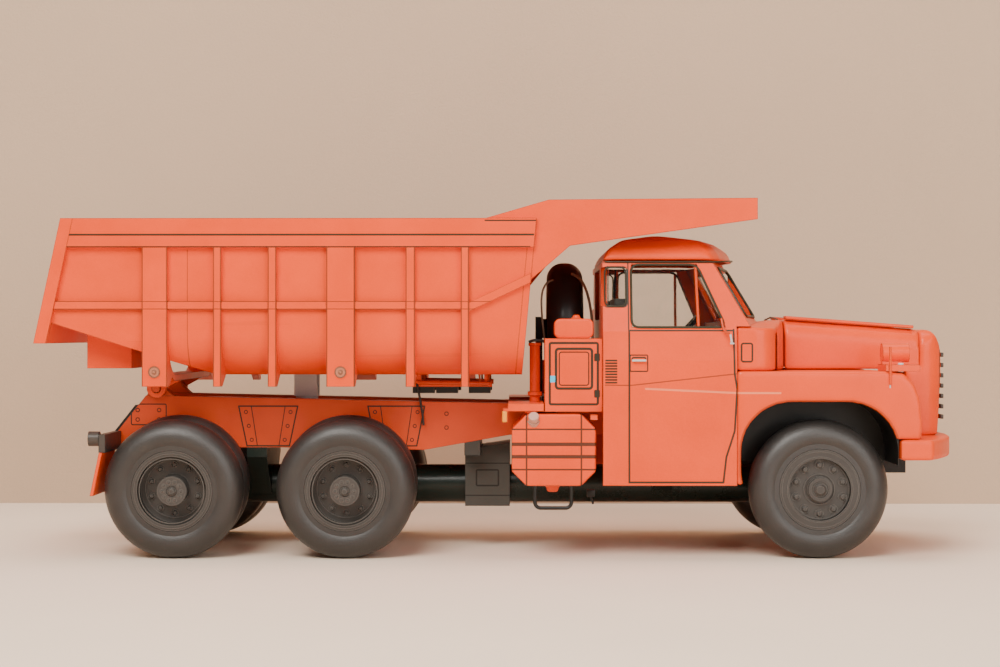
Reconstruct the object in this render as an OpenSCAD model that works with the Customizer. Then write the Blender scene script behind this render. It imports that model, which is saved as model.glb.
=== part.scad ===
// Card scale model of a bonneted six-wheel-drive dump truck with a tipping bed.
// +X is the front, +Y the truck's left side, +Z is up; the origin is on the
// floor, below the middle of the whole model.

/* [Wheels] */
// Front axle, ahead of the origin
front_axle_x = 76.6; // [72:0.1:80]
// Front axle to first rear axle
wheelbase = 114.9; // [105:0.1:120]
// First to second rear axle
bogie_spread = 41.8; // [38:0.1:46]
// Tyre radius
tyre_r = 16.9; // [14:0.1:18.5]
// Tyre width
tyre_w = 9.2; // [7.5:0.1:9.8]
// Radius of the tyre's shoulder
tyre_shoulder = 4.1; // [2:0.1:4.4]
// Rim radius, below the tyre
rim_r = 9.75; // [8:0.05:11]
// Gap between rim and tyre
tyre_fit = 0.1; // [0:0.05:0.3]
// Middle of a front tyre, from the centre plane
front_tyre_y = 30.3; // [29:0.1:31.5]
// Middle of an outer rear tyre, from the centre plane
twin_tyre_y = 32.7; // [32:0.1:34]
// Distance between twin tyres
twin_pitch = 10.5; // [10:0.1:11]
// Outward lean of the rear wheels, degrees
camber = 4; // [0:0.5:6]
// Radius of the stub axles
stub_r = 1.5; // [1:0.1:2]
// Running clearance round a stub axle
stub_fit = 0.3; // [0.1:0.05:0.5]

/* [Frame] */
// Outer face of the rails, from the centre plane
rail_y = 15; // [13:0.1:15.5]
// Width of one rail
rail_w = 5; // [3:0.1:6]
// Top of the rails at the tail
rail_top_rear = 39.1; // [38:0.1:39.4]
// Top of the rails under the cab
rail_top_front = 37; // [36:0.1:38]
// Underside of the rails behind the transfer case
rail_low = 26; // [24:0.1:28]
// Sloping rear end of the rails, top corner
rail_tail_x = -90.3; // [-92:0.1:-89.5]
// How far the rail's lower tail corner reaches behind the top one
rail_tail_slope = 9.6; // [6:0.1:10]

/* [Backbone] */
// Height of the backbone tube
tube_z = 16; // [15:0.1:17]
// Radius of the backbone tube
tube_r = 4.87; // [4:0.01:5.2]
// Radius of the housing at each axle
housing_r = 6.4; // [5.5:0.1:7]
// Radius of the half axles
half_axle_r = 2.3; // [1.8:0.1:2.6]
// Rear face of the transfer case
transfer_x = -10; // [-14:0.1:-8]
// Length of the transfer case
transfer_l = 11.4; // [8:0.1:13]

/* [Cab] */
// Rear face of the cab
cab_rear_x = 24; // [23.5:0.1:26]
// Length of the cab's lower body
cab_l = 32.2; // [30:0.1:32.6]
// Half width of the cab at the doors
cab_y = 38; // [36:0.1:38.2]
// Half width of the cab at the gutter
gutter_y = 32.6; // [30:0.1:34]
// Bottom edge of the doors
door_low_z = 18.1; // [16:0.1:22]
// Bottom of the side windows
belt_z = 55.2; // [53:0.1:56]
// Roof gutter
gutter_z = 72.2; // [70:0.1:72.6]
// Roof crown
roof_z = 79; // [77:0.1:79.6]
// Thickness of the doors and walls
cab_wall = 1.2; // [0.8:0.1:2]
// Lean of the windscreen from upright, degrees
screen_lean = 31; // [26:1:34]
// Sweep of each windscreen pane in plan, degrees
screen_sweep = 10; // [6:1:14]
// Thickness of the window film
pane = 0.4; // [0.3:0.1:0.8]

/* [Bonnet and fenders] */
// Half width of the bonnet
bonnet_y = 17; // [16:0.1:18.5]
// Seam between the scuttle and the bonnet
bonnet_x = 70; // [68:0.1:73]
// Seam between the bonnet and the nose
nose_x = 104; // [102:0.1:105]
// Front of the nose
nose_front_x = 110.2; // [109:0.1:111]
// Bonnet top at the scuttle
bonnet_rear_z = 58.3; // [56:0.1:59]
// Bonnet top at the nose
bonnet_front_z = 55.8; // [54:0.1:57]
// Top of the front fenders
fender_z = 45.6; // [44:0.1:47]
// Half width across the front fenders
fender_y = 38.4; // [38.2:0.1:38.6]
// Front of the front fenders
fender_front_x = 100.6; // [99:0.1:100.6]
// Half width of the bumper
bumper_y = 39; // [37:0.1:40]
// Front of the bumper
bumper_front_x = 113.3; // [112:0.1:116]
// Underside of the bumper
bumper_low = 24.2; // [22:0.1:25]
// Height of the bumper
bumper_h = 5; // [4:0.1:6]

/* [Bed] */
// Half width of the bed's sides
bed_y = 36.5; // [34:0.1:37]
// Top edge of the bed
bed_top = 82.5; // [78:0.1:84]
// Underside of the bed's round belly
bed_low = 44.6; // [44:0.1:46]
// Radius where the sides turn into the belly
belly_r = 10.8; // [6:0.1:14]
// Thickness of the bed's walls
bed_wall = 1.2; // [0.8:0.1:1.6]
// Height of the ribs and rims over the bed's sides
rib_t = 1.6; // [1:0.1:1.6]
// Front of the bed at the belly
bed_front_low_x = 4.5; // [3:0.1:5]
// Front of the bed at the top edge
bed_front_top_x = 8; // [6:0.1:8.5]
// Rear end of the bed at the tail sill
bed_tail_low_x = -113.3; // [-116:0.1:-110]
// Rear end of the bed at the top edge
bed_tail_top_x = -106.8; // [-109:0.1:-105]
// Underside of the tail sill
tail_sill_z = 52.3; // [51:0.1:54]
// Upward slope of the rear floor, degrees
tail_rise = 17.9; // [14:0.1:19]
// Front edge of the canopy over the cab
canopy_front_x = 61.3; // [55:0.1:64]
// Rise of the canopy above the bed
canopy_rise = 4.9; // [3:0.1:9]

/* [Hinge and ram] */
// Bed hinge pin, along the truck
hinge_x = -87.3; // [-88:0.1:-86.5]
// Bed hinge pin, above the floor
hinge_z = 40.9; // [40.7:0.1:41]
// Radius of the hinge pin
pin_r = 1; // [0.8:0.1:1.1]
// Clearance round the hinge pin
pin_fit = 0.15; // [0.1:0.05:0.25]
// Ram, along the truck
ram_x = -51.2; // [-53:0.1:-49]
// Ram trunnion, above the floor
trunnion_z = 29; // [28.5:0.1:30]
// Ram's upper pin under the bed
ram_pin_z = 40.8; // [40.6:0.1:41]
// Radius of the ram's barrel
ram_r = 3.4; // [3.2:0.1:4]
// Sliding clearance between ram stages
ram_fit = 0.1; // [0.05:0.01:0.15]
// Wall of the ram's barrel and stages
ram_wall = 0.45; // [0.4:0.01:0.5]

/* [Hidden] */

canopy_z = bed_top + canopy_rise;

orange = "#e2703f";
frame_orange = "#c8502d";
tyre_black = "#50463f";
backbone_green = "#141c18";
steel = "#b8bcc0";
black = "#22211f";
rim_grey = "#3d3936";
film = "#dfe8ea";
$fn = 48;

middle_axle_x = front_axle_x - wheelbase;
rear_axle_x = middle_axle_x - bogie_spread;
rear_axles = [middle_axle_x, rear_axle_x];
cab_front_x = cab_rear_x + cab_l;
crown_r = tyre_r - tyre_shoulder;
crown_half = tyre_w / 2 - tyre_shoulder;
front_wheel_z = tyre_r;
rear_wheel_z = crown_r * cos(camber) + crown_half * sin(camber) + tyre_shoulder;
reach = 200;

// ---- helpers ----

module box(x0, x1, y0, y1, z0, z1) {
  translate([x0, y0, z0]) cube([x1 - x0, y1 - y0, z1 - z0]);
}

// A side view drawn in X and Z, as thick as y0 to y1
module side_plate(y0, y1) {
  translate([0, y1, 0]) rotate([90, 0, 0]) linear_extrude(y1 - y0) children();
}

// A front view drawn in Y and Z, as long as x0 to x1
module cross_plate(x0, x1) {
  translate([x0, 0, 0]) rotate([90, 0, 90]) linear_extrude(x1 - x0) children();
}

module rod_x(x0, x1, y, z, r) {
  translate([x0, y, z]) rotate([0, 90, 0]) cylinder(h = x1 - x0, r = r);
}

module rod_y(x, y0, y1, z, r) {
  translate([x, y1, z]) rotate([90, 0, 0]) cylinder(h = y1 - y0, r = r);
}

module rod_z(x, y, z0, z1, r) {
  translate([x, y, z0]) cylinder(h = z1 - z0, r = r);
}

module both_sides() {
  children();
  mirror([0, 1, 0]) children();
}

// A rectangle with round corners
module round_rect(x0, x1, z0, z1, r) {
  translate([x0 + r, z0]) square([x1 - x0 - 2 * r, z1 - z0]);
  translate([x0, z0 + r]) square([x1 - x0, z1 - z0 - 2 * r]);
  for (x = [x0 + r, x1 - r], z = [z0 + r, z1 - r]) translate([x, z]) circle(r);
}

// ---- wheels, drawn round their own axis with +Y pointing outward ----

module spin_outward() {
  rotate([-90, 0, 0]) rotate_extrude() children();
}

module tyre() {
  bead_r = rim_r + tyre_fit;
  spin_outward() intersection() {
    translate([bead_r, -tyre_w / 2]) square([tyre_r - bead_r, tyre_w]);
    union() {
      translate([bead_r, -lip]) square([crown_r - bead_r, 2 * lip]);
      translate([bead_r, -crown_half]) square([tyre_r - bead_r, 2 * crown_half]);
      for (h = [-crown_half, crown_half]) translate([crown_r, h]) circle(tyre_shoulder);
    }
  }
}

hub_cap_r = 2.4;
bore_r = stub_r + stub_fit;
rim_wall = 0.65;
disc_t = 1;
lip = tyre_w / 2 - 0.4;
front_dish_r = rim_r - 2.25;
front_disc_y = 1.3;
front_hub_end = 3.3;
rear_dish_r = rim_r - 1.35;
rear_disc_y = -1.6;
rear_hub_r = 3.6;
rear_hub_end = 3.4;
cap_t = 0.6;

// Rim for one front tyre, with its dished disc, hub and cap
module front_rim() {
  spin_outward() {
    translate([rim_r - rim_wall, -lip]) square([rim_wall, 2 * lip]);
    translate([front_dish_r, lip - disc_t]) square([rim_r - front_dish_r, disc_t]);
    translate([front_dish_r, front_disc_y]) square([rim_wall, lip - front_disc_y]);
    translate([bore_r, front_disc_y]) square([front_dish_r + rim_wall - bore_r, disc_t]);
    translate([bore_r, -lip]) square([hub_cap_r + rim_wall - bore_r, lip + front_hub_end]);
    translate([0, front_hub_end]) square([hub_cap_r, cap_t]);
  }
}

// Rim that carries two tyres, with one deep dish and the hub standing out of it
module twin_rim() {
  spin_outward() {
    translate([rim_r - rim_wall, -twin_pitch - lip]) square([rim_wall, twin_pitch + 2 * lip]);
    translate([rear_dish_r, lip - disc_t]) square([rim_r - rear_dish_r, disc_t]);
    translate([rear_dish_r, rear_disc_y]) square([rim_wall, lip - rear_disc_y]);
    translate([bore_r, rear_disc_y]) square([rim_r - bore_r, disc_t]);
    translate([bore_r, -twin_pitch]) square([rear_hub_r - bore_r, twin_pitch + rear_hub_end]);
    translate([0, rear_hub_end]) square([rear_hub_r, cap_t]);
  }
}

module at_front_wheel() {
  translate([front_axle_x, front_tyre_y, front_wheel_z]) children();
}

module at_rear_wheel(x) {
  translate([x, twin_tyre_y, rear_wheel_z]) rotate([-camber, 0, 0]) children();
}

module twin_tyres() {
  tyre();
  translate([0, -twin_pitch, 0]) tyre();
}

// ---- frame ----

rail_front_x = fender_front_x - 0.4;
rail_inner = rail_y - rail_w;
bumper_top = bumper_low + bumper_h;
bumper_back_x = front_axle_x + tyre_r + 1.9;
rail_level_x = 8;
rail_flat_x = middle_axle_x - 19.7;
rail_dip_x = -20;
rail_dip_z = rail_low - 0.6;
transfer_front_x = transfer_x + transfer_l;

function rail_under(x) = rail_dip_z
  + (bumper_top - rail_dip_z) * (x - rail_dip_x) / (transfer_front_x - rail_dip_x);
function rail_top(x) = x > rail_level_x ? rail_top_front : rail_top_front
  + (rail_top_rear - rail_top_front) * (rail_level_x - x) / (rail_level_x - rail_tail_x);

cross_member_w = 5;
cross_member_top = 35.5;
cross_members = [-90, -66, 16, 62, 92];
trunnion_r = 1.4;
trunnion_fit = 0.2;
trunnion_plate = 1.5;
trunnion_y = ram_r + 0.5;

module frame_rails() {
  color(frame_orange) {
    both_sides() side_plate(rail_inner, rail_y) polygon([
      [rail_tail_x - rail_tail_slope, rail_low + 1], [rail_tail_x, rail_top(rail_tail_x)],
      [rail_level_x, rail_top_front], [rail_front_x, rail_top_front],
      [rail_front_x, bumper_top], [transfer_front_x, bumper_top], [rail_dip_x, rail_dip_z],
      [rail_flat_x, rail_low], [rail_tail_x, rail_low],
    ]);
    for (x = cross_members)
      box(x, x + cross_member_w, -rail_inner, rail_inner, bumper_top, cross_member_top);
    // Arms from the rails to the ram's trunnion
    both_sides() difference() {
      box(ram_x - 3, ram_x + 3, trunnion_y, rail_inner, trunnion_z - 2.6, trunnion_z + 3);
      rod_y(ram_x, 0, trunnion_y + 4, trunnion_z, trunnion_r + trunnion_fit);
    }
  }
}

ear_r = min(1.9, hinge_z - rail_top(hinge_x) - 0.05);
lug_y = rail_y + 0.4;
lug_t = 1.8;
lug_r = 2.4;
pin_end = lug_y + lug_t + 0.6;

// Ears on the rails, and the pins that stand out of them for the bed's lugs
module bed_hinge() {
  color(frame_orange) both_sides() {
    side_plate(rail_inner + 1, rail_y) {
      translate([hinge_x, hinge_z]) circle(ear_r);
      polygon([
        [hinge_x - ear_r, hinge_z], [hinge_x + ear_r, hinge_z],
        [hinge_x + 4, rail_top(hinge_x + 4)],
        [rail_tail_x + 0.2, rail_top(rail_tail_x + 0.2)],
      ]);
    }
    rod_y(hinge_x, rail_y, pin_end, hinge_z, pin_r);
  }
}

// ---- backbone and axles ----

tube_rear_x = rear_axle_x - 8;
tube_front_x = front_axle_x + 10;
saddle_x = middle_axle_x - 26.5;
saddle_l = 5;
front_saddle_x = 38;
flange_y = 7;
flange_half = 5;

module axle_housing(x) {
  rod_x(x - flange_half - 1.5, x + flange_half + 1.5, 0, tube_z, housing_r);
  box(x - flange_half, x + flange_half, -flange_y, flange_y, tube_z - 4.5, tube_z + 6);
}

// A saddle from the tube up to the rails
module tube_saddle(x, top) {
  cross_plate(x, x + saddle_l) polygon([
    [-rail_y, top], [rail_y, top], [rail_y, top - 2.4],
    [tube_r, tube_z - 2.4], [-tube_r, tube_z - 2.4], [-rail_y, top - 2.4],
  ]);
}

module backbone_tube() {
  color(backbone_green) {
    rod_x(tube_rear_x, transfer_x, 0, tube_z, tube_r);
    rod_x(transfer_front_x, tube_front_x, 0, tube_z, tube_r);
    for (x = [rear_axle_x, middle_axle_x, front_axle_x]) axle_housing(x);
    tube_saddle(saddle_x, rail_low);
    tube_saddle(front_saddle_x, bumper_top);
  }
}

transfer_y = 8;
transfer_low = 10.7;

module transfer_case() {
  color("#4a4a44") {
    side_plate(-transfer_y, transfer_y) polygon([
      [transfer_x, transfer_low], [transfer_front_x, transfer_low],
      [transfer_front_x, rail_low + 0.9], [transfer_x, rail_low - 0.8],
    ]);
    side_plate(-rail_y, rail_y) polygon([
      [transfer_x, rail_low - 2], [transfer_x + 4, rail_low - 2],
      [transfer_x + 4, rail_under(transfer_x + 4)], [transfer_x, rail_under(transfer_x)],
    ]);
  }
}

knuckle_y = 21;
knuckle_l = 4;

module front_half_axles() {
  color(backbone_green) both_sides() {
    rod_y(front_axle_x, flange_y, knuckle_y, front_wheel_z, half_axle_r);
    box(front_axle_x - 3, front_axle_x + 3, knuckle_y, knuckle_y + knuckle_l,
      front_wheel_z - 4.5, front_wheel_z + 4.5);
    rod_y(front_axle_x, knuckle_y + knuckle_l, front_tyre_y + front_hub_end - 0.4,
      front_wheel_z, stub_r);
  }
}

// Swinging half axles, which slope down to the leaning wheels
module rear_half_axles() {
  inner_end = -twin_pitch - tyre_w / 2 - 0.5;
  color(backbone_green) both_sides() for (x = rear_axles) {
    difference() {
      at_rear_wheel(x) rod_y(0, -twin_tyre_y, inner_end, 0, half_axle_r);
      box(x - 5, x + 5, -reach, flange_y, 0, reach);
    }
    at_rear_wheel(x) rod_y(0, inner_end, rear_hub_end - 0.4, 0, stub_r);
  }
}

// ---- cab ----

floor_z = rail_top_front;
screen_foot_x = cab_front_x + 9;
screen_foot_z = belt_z + 2.5;

module cab_section(inset, z0, z1) {
  side = [
    [cab_y - inset, z0], [cab_y - inset, belt_z - 7], [cab_y - 0.8 - inset, belt_z],
    [gutter_y - inset, gutter_z], [gutter_y - inset, z1],
  ];
  mirrored = [for (i = [len(side) - 1:-1:0]) [-side[i][0], side[i][1]]];
  polygon(concat(side, mirrored));
}

// Frame of one windscreen pane: X out of the glass, Y along it, Z up it
module at_screen() {
  translate([screen_foot_x, 0, screen_foot_z]) rotate([0, -screen_lean, screen_sweep]) children();
}

// Everything ahead of the windscreen, moved out by the given distance
module ahead_of_screen(out) {
  both_sides() at_screen() translate([out, -reach, -reach]) cube(2 * reach);
}

sill_z = screen_foot_z - 1.3;

module cab_block(inset) {
  intersection() {
    difference() {
      cross_plate(cab_rear_x + inset, reach) cab_section(inset, door_low_z - inset, gutter_z + inset);
      ahead_of_screen(-inset);
    }
    union() {
      box(0, cab_front_x - inset, -reach, reach, 0, reach);
      box(0, reach, -reach, reach, sill_z + inset, reach);
    }
  }
}

window_frame = 0.4;
screen_post = 1.3;
screen_h = (gutter_z - screen_foot_z) / cos(screen_lean) - 2.6;
screen_outline = [
  [screen_post, 1.6], [33.2, 1.6], [28.6, screen_h + 0.6], [screen_post, screen_h + 0.6],
];
door_window = [
  [cab_rear_x + 7, belt_z + 1], [cab_rear_x + 7, gutter_z - 0.7],
  [cab_front_x - 9.3, gutter_z - 0.7], [cab_front_x - 2.7, belt_z + 1],
];
corner_window_x = cab_rear_x + 5.8;
corner_window_y = 24;
corner_window_low = belt_z + 6.1;
corner_window_top = gutter_z - 1.4;
rear_window_y = 15;

module window_cuts() {
  side_plate(-reach, reach) polygon(door_window);
  both_sides() {
    box(cab_rear_x - 1, corner_window_x, corner_window_y, reach, corner_window_low, corner_window_top);
    at_screen() translate([-4, 0, 0]) rotate([90, 0, 90]) linear_extrude(8) polygon(screen_outline);
  }
  box(cab_rear_x - 1, cab_rear_x + 3, -rear_window_y, rear_window_y, belt_z + 3, corner_window_top);
}

module cab_shell() {
  color(orange) difference() {
    union() {
      difference() {
        cab_block(0);
        cab_block(cab_wall);
      }
      box(cab_rear_x + 0.5, cab_front_x - 0.5, -cab_y + 0.5, cab_y - 0.5, floor_z,
        floor_z + cab_wall);
    }
    box(0, reach, -cab_y + cab_wall, cab_y - cab_wall, 0, floor_z);
    window_cuts();
  }
}

roof_drop = roof_z - gutter_z;
roof_levels = [[0, 0], [0.45, 1.4], [0.8, 5], [1, 13]];
visor = 2.6;

// The roof's plan, drawn in by a margin
module roof_plan(inset) {
  front = screen_foot_x - (gutter_z - screen_foot_z) * tan(screen_lean) + visor;
  corner = front - gutter_y * tan(screen_sweep);
  polygon([
    [cab_rear_x + inset, gutter_y - inset], [corner - 2.5 - inset, gutter_y - inset],
    [corner - inset, gutter_y - 4 - inset], [front - inset, 0], [corner - inset, 4 + inset - gutter_y],
    [corner - 2.5 - inset, inset - gutter_y], [cab_rear_x + inset, inset - gutter_y],
  ]);
}

module roof_dome(inset) {
  hull() for (level = roof_levels)
    translate([0, 0, gutter_z + level[0] * (roof_drop - inset) - 0.1 * inset])
      linear_extrude(0.05) roof_plan(level[1] + inset);
}

module cab_roof() {
  color(orange) difference() {
    roof_dome(0);
    roof_dome(cab_wall);
  }
}

// Film panes sit just inside the window openings
module windscreen() {
  color(film) both_sides() at_screen() translate([-cab_wall - pane, 0, 0])
    rotate([90, 0, 90]) linear_extrude(pane) polygon([
      [0.6, 1.2], [33.5, 1.2], [28.9, screen_h + 0.9], [0.6, screen_h + 0.9],
    ]);
}

door_glass = [
  [cab_rear_x + 6.2, belt_z + 0.6], [cab_rear_x + 6.2, gutter_z - 0.4],
  [cab_front_x - 9.2, gutter_z - 0.4], [cab_front_x - 2.3, belt_z + 0.6],
];

// Door and corner panes follow the lean of the cab's sides
module side_pane(outline) {
  intersection() {
    side_plate(0, reach) polygon(outline);
    difference() {
      cross_plate(0, reach) cab_section(cab_wall, 0, reach);
      cross_plate(-1, reach + 1) cab_section(cab_wall + pane, 0, reach + 1);
    }
  }
}

module side_windows() {
  corner_x = cab_rear_x + cab_wall;
  color(film) {
    both_sides() {
      side_pane(door_glass);
      side_pane([
        [corner_x, corner_window_low - 0.5], [corner_x, corner_window_top + 0.5],
        [corner_window_x + 0.2, corner_window_top + 0.5],
        [corner_window_x + 0.2, corner_window_low - 0.5],
      ]);
      box(corner_x, corner_x + pane, corner_window_y - 0.6, gutter_y - cab_wall - pane - 0.1,
        corner_window_low - 0.5, corner_window_top + 0.5);
    }
    box(corner_x, corner_x + pane, -rear_window_y - 0.6, rear_window_y + 0.6,
      belt_z + 2.4, corner_window_top + 0.5);
  }
}

seat_base_z = floor_z + cab_wall;
seat_y = [[6, 31], [-31, -6]];

module seats() {
  color("#3b3a38") for (y = seat_y) {
    box(cab_rear_x + 5, cab_rear_x + 15, y[0] + 3, y[1] - 3, seat_base_z, seat_base_z + 5);
    box(cab_rear_x + 3, cab_rear_x + 17, y[0], y[1], seat_base_z + 5, seat_base_z + 9);
    box(cab_rear_x + 3, cab_rear_x + 6, y[0], y[1], seat_base_z + 9, belt_z + 8);
  }
}

dash_x = cab_front_x - cab_wall - 4;
wheel_ring_r = 6;
steering_y = 17;
steering_lean = 50;

module dashboard() {
  color("#5a5148") box(dash_x, cab_front_x - cab_wall, -cab_y + 3.5, cab_y - 3.5,
    belt_z - 7, belt_z);
}

module steering_wheel() {
  color(black) translate([dash_x - 3.4, steering_y, belt_z - 0.5]) rotate([0, -steering_lean, 0]) {
    rotate_extrude() translate([wheel_ring_r, 0]) circle(0.55);
    for (a = [0, 120, 240]) rotate(a) translate([0, -0.4, -0.4]) cube([wheel_ring_r, 0.8, 0.8]);
    translate([0, 0, -3.5]) cylinder(h = 3.9, r = 0.9);
  }
}

// ---- bonnet and fenders ----

scuttle_y = cab_y - 1.5;

module scuttle() {
  color(orange) difference() {
    hull() {
      box(cab_front_x, cab_front_x + 0.5, -scuttle_y, scuttle_y, fender_z, sill_z);
      both_sides() translate([cab_front_x + 5, scuttle_y - 5, fender_z])
        cylinder(h = sill_z - fender_z - 0.4, r = 5, $fn = 32);
      bonnet_slice(bonnet_x, 0);
    }
    box(0, cab_front_x + 10.5, -scuttle_y + 5, scuttle_y - 5, fender_z - 1, sill_z - cab_wall);
    cab_block(0);
  }
}

function bonnet_top(x) = bonnet_rear_z
  + (bonnet_front_z - bonnet_rear_z) * (x - bonnet_x) / (nose_x - bonnet_x);

// A thin slice of the bonnet, ending at x
module bonnet_slice(x, inset) {
  corner = 4.5;
  top = bonnet_top(x) - inset;
  side = bonnet_y - inset;
  cross_plate(x - 0.3, x) {
    translate([-side, fender_z]) square([2 * side, top - corner - fender_z]);
    for (y = [corner - side, side - corner]) translate([y, top - corner]) circle(corner, $fn = 32);
    translate([corner - side, top - corner]) square([2 * (side - corner), corner]);
  }
}

module bonnet() {
  color(orange) difference() {
    hull() {
      bonnet_slice(bonnet_x + 0.4, 0);
      bonnet_slice(nose_x, 0);
    }
    translate([0, 0, -0.1]) hull() {
      bonnet_slice(bonnet_x + 0.05, cab_wall);
      bonnet_slice(nose_x + 0.5, cab_wall);
    }
  }
}

module nose_panel() {
  profile = [
    [nose_x, bumper_top], [nose_front_x - 1.3, bumper_top], [nose_front_x - 0.5, 39.8],
    [nose_front_x, 46], [nose_front_x - 0.1, 48.5], [nose_front_x - 0.5, 51.6],
    [nose_front_x - 1.8, 54.2], [nose_front_x - 3, bonnet_front_z - 0.2], [nose_x, bonnet_front_z],
  ];
  color(orange) {
    intersection() {
      side_plate(-bonnet_y, bonnet_y) polygon(profile);
      translate([0, 0, -1]) linear_extrude(reach)
        round_rect(nose_x - 20, nose_front_x, -bonnet_y, bonnet_y, 5);
      cross_plate(0, reach) round_rect(-bonnet_y, bonnet_y, 0, bonnet_front_z, 4.5);
    }
    box(fender_front_x, nose_x, -bonnet_y, bonnet_y, bumper_top, fender_z);
  }
}

arch_corner = 12;
arch_gap = 2.5;
arch_half = tyre_r + arch_gap;
arch_z = 2 * tyre_r + 4.3;
arch_low = 10;

module arch(out) {
  round_rect(front_axle_x - arch_half - out, front_axle_x + arch_half - 1.2 + out, arch_low,
    arch_z + out, arch_corner + out);
}

// Side view of the fender, drawn in by a margin
module fender_side(inset) {
  front = fender_front_x - inset;
  top = fender_z - inset;
  polygon([
    [cab_front_x + inset, door_low_z - inset], [cab_front_x + inset, top],
    [front - 8.6, top], [front - 4.4, top - 0.5], [front - 2, top - 3.1],
    [front - 0.7, top - 6.1], [front, top - 12.5], [front - 0.2, bumper_top - inset],
    [bumper_back_x - 0.3, bumper_top - inset],
  ]);
}

fender_inner_y = bonnet_y - 1;
liner_t = 1;
liner_y = fender_y - cab_wall - 0.2;

module front_fenders() {
  color(orange) both_sides() difference() {
    side_plate(fender_inner_y, fender_y) fender_side(0);
    side_plate(fender_inner_y - 1, fender_y - cab_wall) fender_side(cab_wall);
    side_plate(0, reach) arch(0);
    box(0, reach, rail_inner, rail_y + 0.4, 0, floor_z + 0.3);
  }
}

// Black liners inside the arches, open below
module arch_liners() {
  liner_in = bonnet_y + 0.4;
  color(black) both_sides() intersection() {
    difference() {
      side_plate(liner_in, liner_y) arch(1.2);
      side_plate(liner_in + liner_t, liner_y + 1) arch(0.2);
      box(bumper_back_x - 0.3, reach, 0, reach, 0, bumper_top + 0.2);
    }
    box(cab_front_x + cab_wall + 0.2, fender_front_x - 2.6, 0, fender_y, 23, reach);
  }
}

bumper_bow_r = 79;
tow_front_x = bumper_back_x + 7;

module front_bumper() {
  color(orange) translate([0, 0, bumper_low]) linear_extrude(bumper_h) difference() {
    intersection() {
      translate([bumper_front_x - bumper_bow_r, 0]) circle(bumper_bow_r, $fn = 160);
      round_rect(bumper_back_x - 6, reach, -bumper_y, bumper_y, 5);
    }
    translate([bumper_back_x - reach, -reach]) square([reach, 2 * reach]);
  }
}

module tow_block() {
  color(black) {
    box(bumper_back_x, tow_front_x, -7, 7, bumper_low - 5, bumper_low);
    box(bumper_back_x - 6, bumper_back_x, -7, 7, bumper_low - 5, bumper_top);
    both_sides() box(bumper_back_x - 6, bumper_back_x, 7, rail_y, bumper_top - 3, bumper_top);
  }
}

lamp_x = fender_front_x - 8.4;
lamp_l = 6.5;
lamp_y = 30;
lamp_z = 50;
lamp_r = 2.3;
shelf_h = 1.6;
marker_r = 0.3;

module headlamps() {
  color(orange) both_sides() {
    rod_x(lamp_x, lamp_x + lamp_l, lamp_y, lamp_z, lamp_r);
    box(lamp_x, lamp_x + 5, lamp_y - 1, lamp_y + 1, fender_z + shelf_h, lamp_z - 1);
    box(lamp_x - 0.4, lamp_x + 7.8, lamp_y - 3, fender_y, fender_z, fender_z + shelf_h);
    rod_z(lamp_x + 0.6, fender_y + marker_r, fender_z - 3.2, lamp_z + 1.5, marker_r);
  }
}

// ---- side equipment ----

tank_x = 2;
tank_l = 20.4;
tank_low = 17.9;
tank_top = 35.3;
tank_corner = 3.6;
tank_outer_y = 37;
tank_inner_y = rail_y + 2;

module chamfered_block(x, l, low, top, y0, y1, cut) {
  side_plate(y0, y1) polygon([
    [x + cut, low], [x + l - cut, low], [x + l, low + cut], [x + l, top - cut],
    [x + l - cut, top], [x + cut, top], [x, top - cut], [x, low + cut],
  ]);
}

cap_x = tank_x + 4.5;
cap_r = 1.3;
drain_l = 2.8;

module fuel_tank() {
  color(orange) {
    chamfered_block(tank_x, tank_l, tank_low, tank_top, -tank_outer_y, -tank_inner_y, tank_corner);
    box(tank_x + 3, tank_x + 6, -tank_inner_y, -rail_y, tank_top - 6, tank_top - 2);
    box(tank_x + tank_l - 6, tank_x + tank_l - 3, -tank_inner_y, -rail_y, tank_top - 6, tank_top - 3);
    box(tank_x + 8.5, tank_x + 8.5 + drain_l, -tank_outer_y + 3, -tank_outer_y + 6,
      tank_low - 1.7, tank_low);
  }
}

step_r = 0.45;
step_low = 12.6;
step_x = [7.6, 16.4];
step_y = tank_outer_y - 0.6;
step_bend = 1.4;

// Wire hoop below the tank
module tank_step() {
  color(black) {
    for (x = step_x) rod_z(x, -step_y, step_low + step_bend, tank_low, step_r);
    rod_x(step_x[0] + step_bend, step_x[1] - step_bend, -step_y, step_low, step_r);
    for (turn = [[step_x[0] + step_bend, 180], [step_x[1] - step_bend, 270]])
      translate([turn[0], -step_y, step_low + step_bend]) rotate([90, 0, 0]) rotate(turn[1])
        rotate_extrude(angle = 90) translate([step_bend, 0]) circle(step_r);
  }
}

beam_low = tank_top + 0.6;
beam_top = beam_low + 1.9;

module side_beams() {
  color(orange) {
    both_sides() box(tank_x - 0.9, tank_x + 7.8, rail_y, tank_outer_y - 0.5, beam_low, beam_top);
    both_sides() box(tank_x - 2.1, tank_x - 0.9, tank_outer_y - 4, tank_outer_y - 0.5,
      tank_top - 2.1, beam_low + 0.7);
    rod_z(cap_x, 1 - tank_outer_y + 2, tank_top, beam_low, cap_r);
  }
}

toolbox_x = 10;
toolbox_l = 13.9;
toolbox_low = 35.8;
toolbox_top = 53.5;
toolbox_y = [-36, -21];

module tool_box() {
  color(orange) {
    box(toolbox_x, toolbox_x + toolbox_l, toolbox_y[0], toolbox_y[1], toolbox_low, toolbox_top);
    box(toolbox_x + 2, toolbox_x + toolbox_l - 2, toolbox_y[1], -rail_y, toolbox_low, rail_top_front);
    box(toolbox_x + 3, toolbox_x + toolbox_l - 3, toolbox_y[0] + 4, toolbox_y[1] - 2,
      tank_top, toolbox_low);
  }
}

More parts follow.
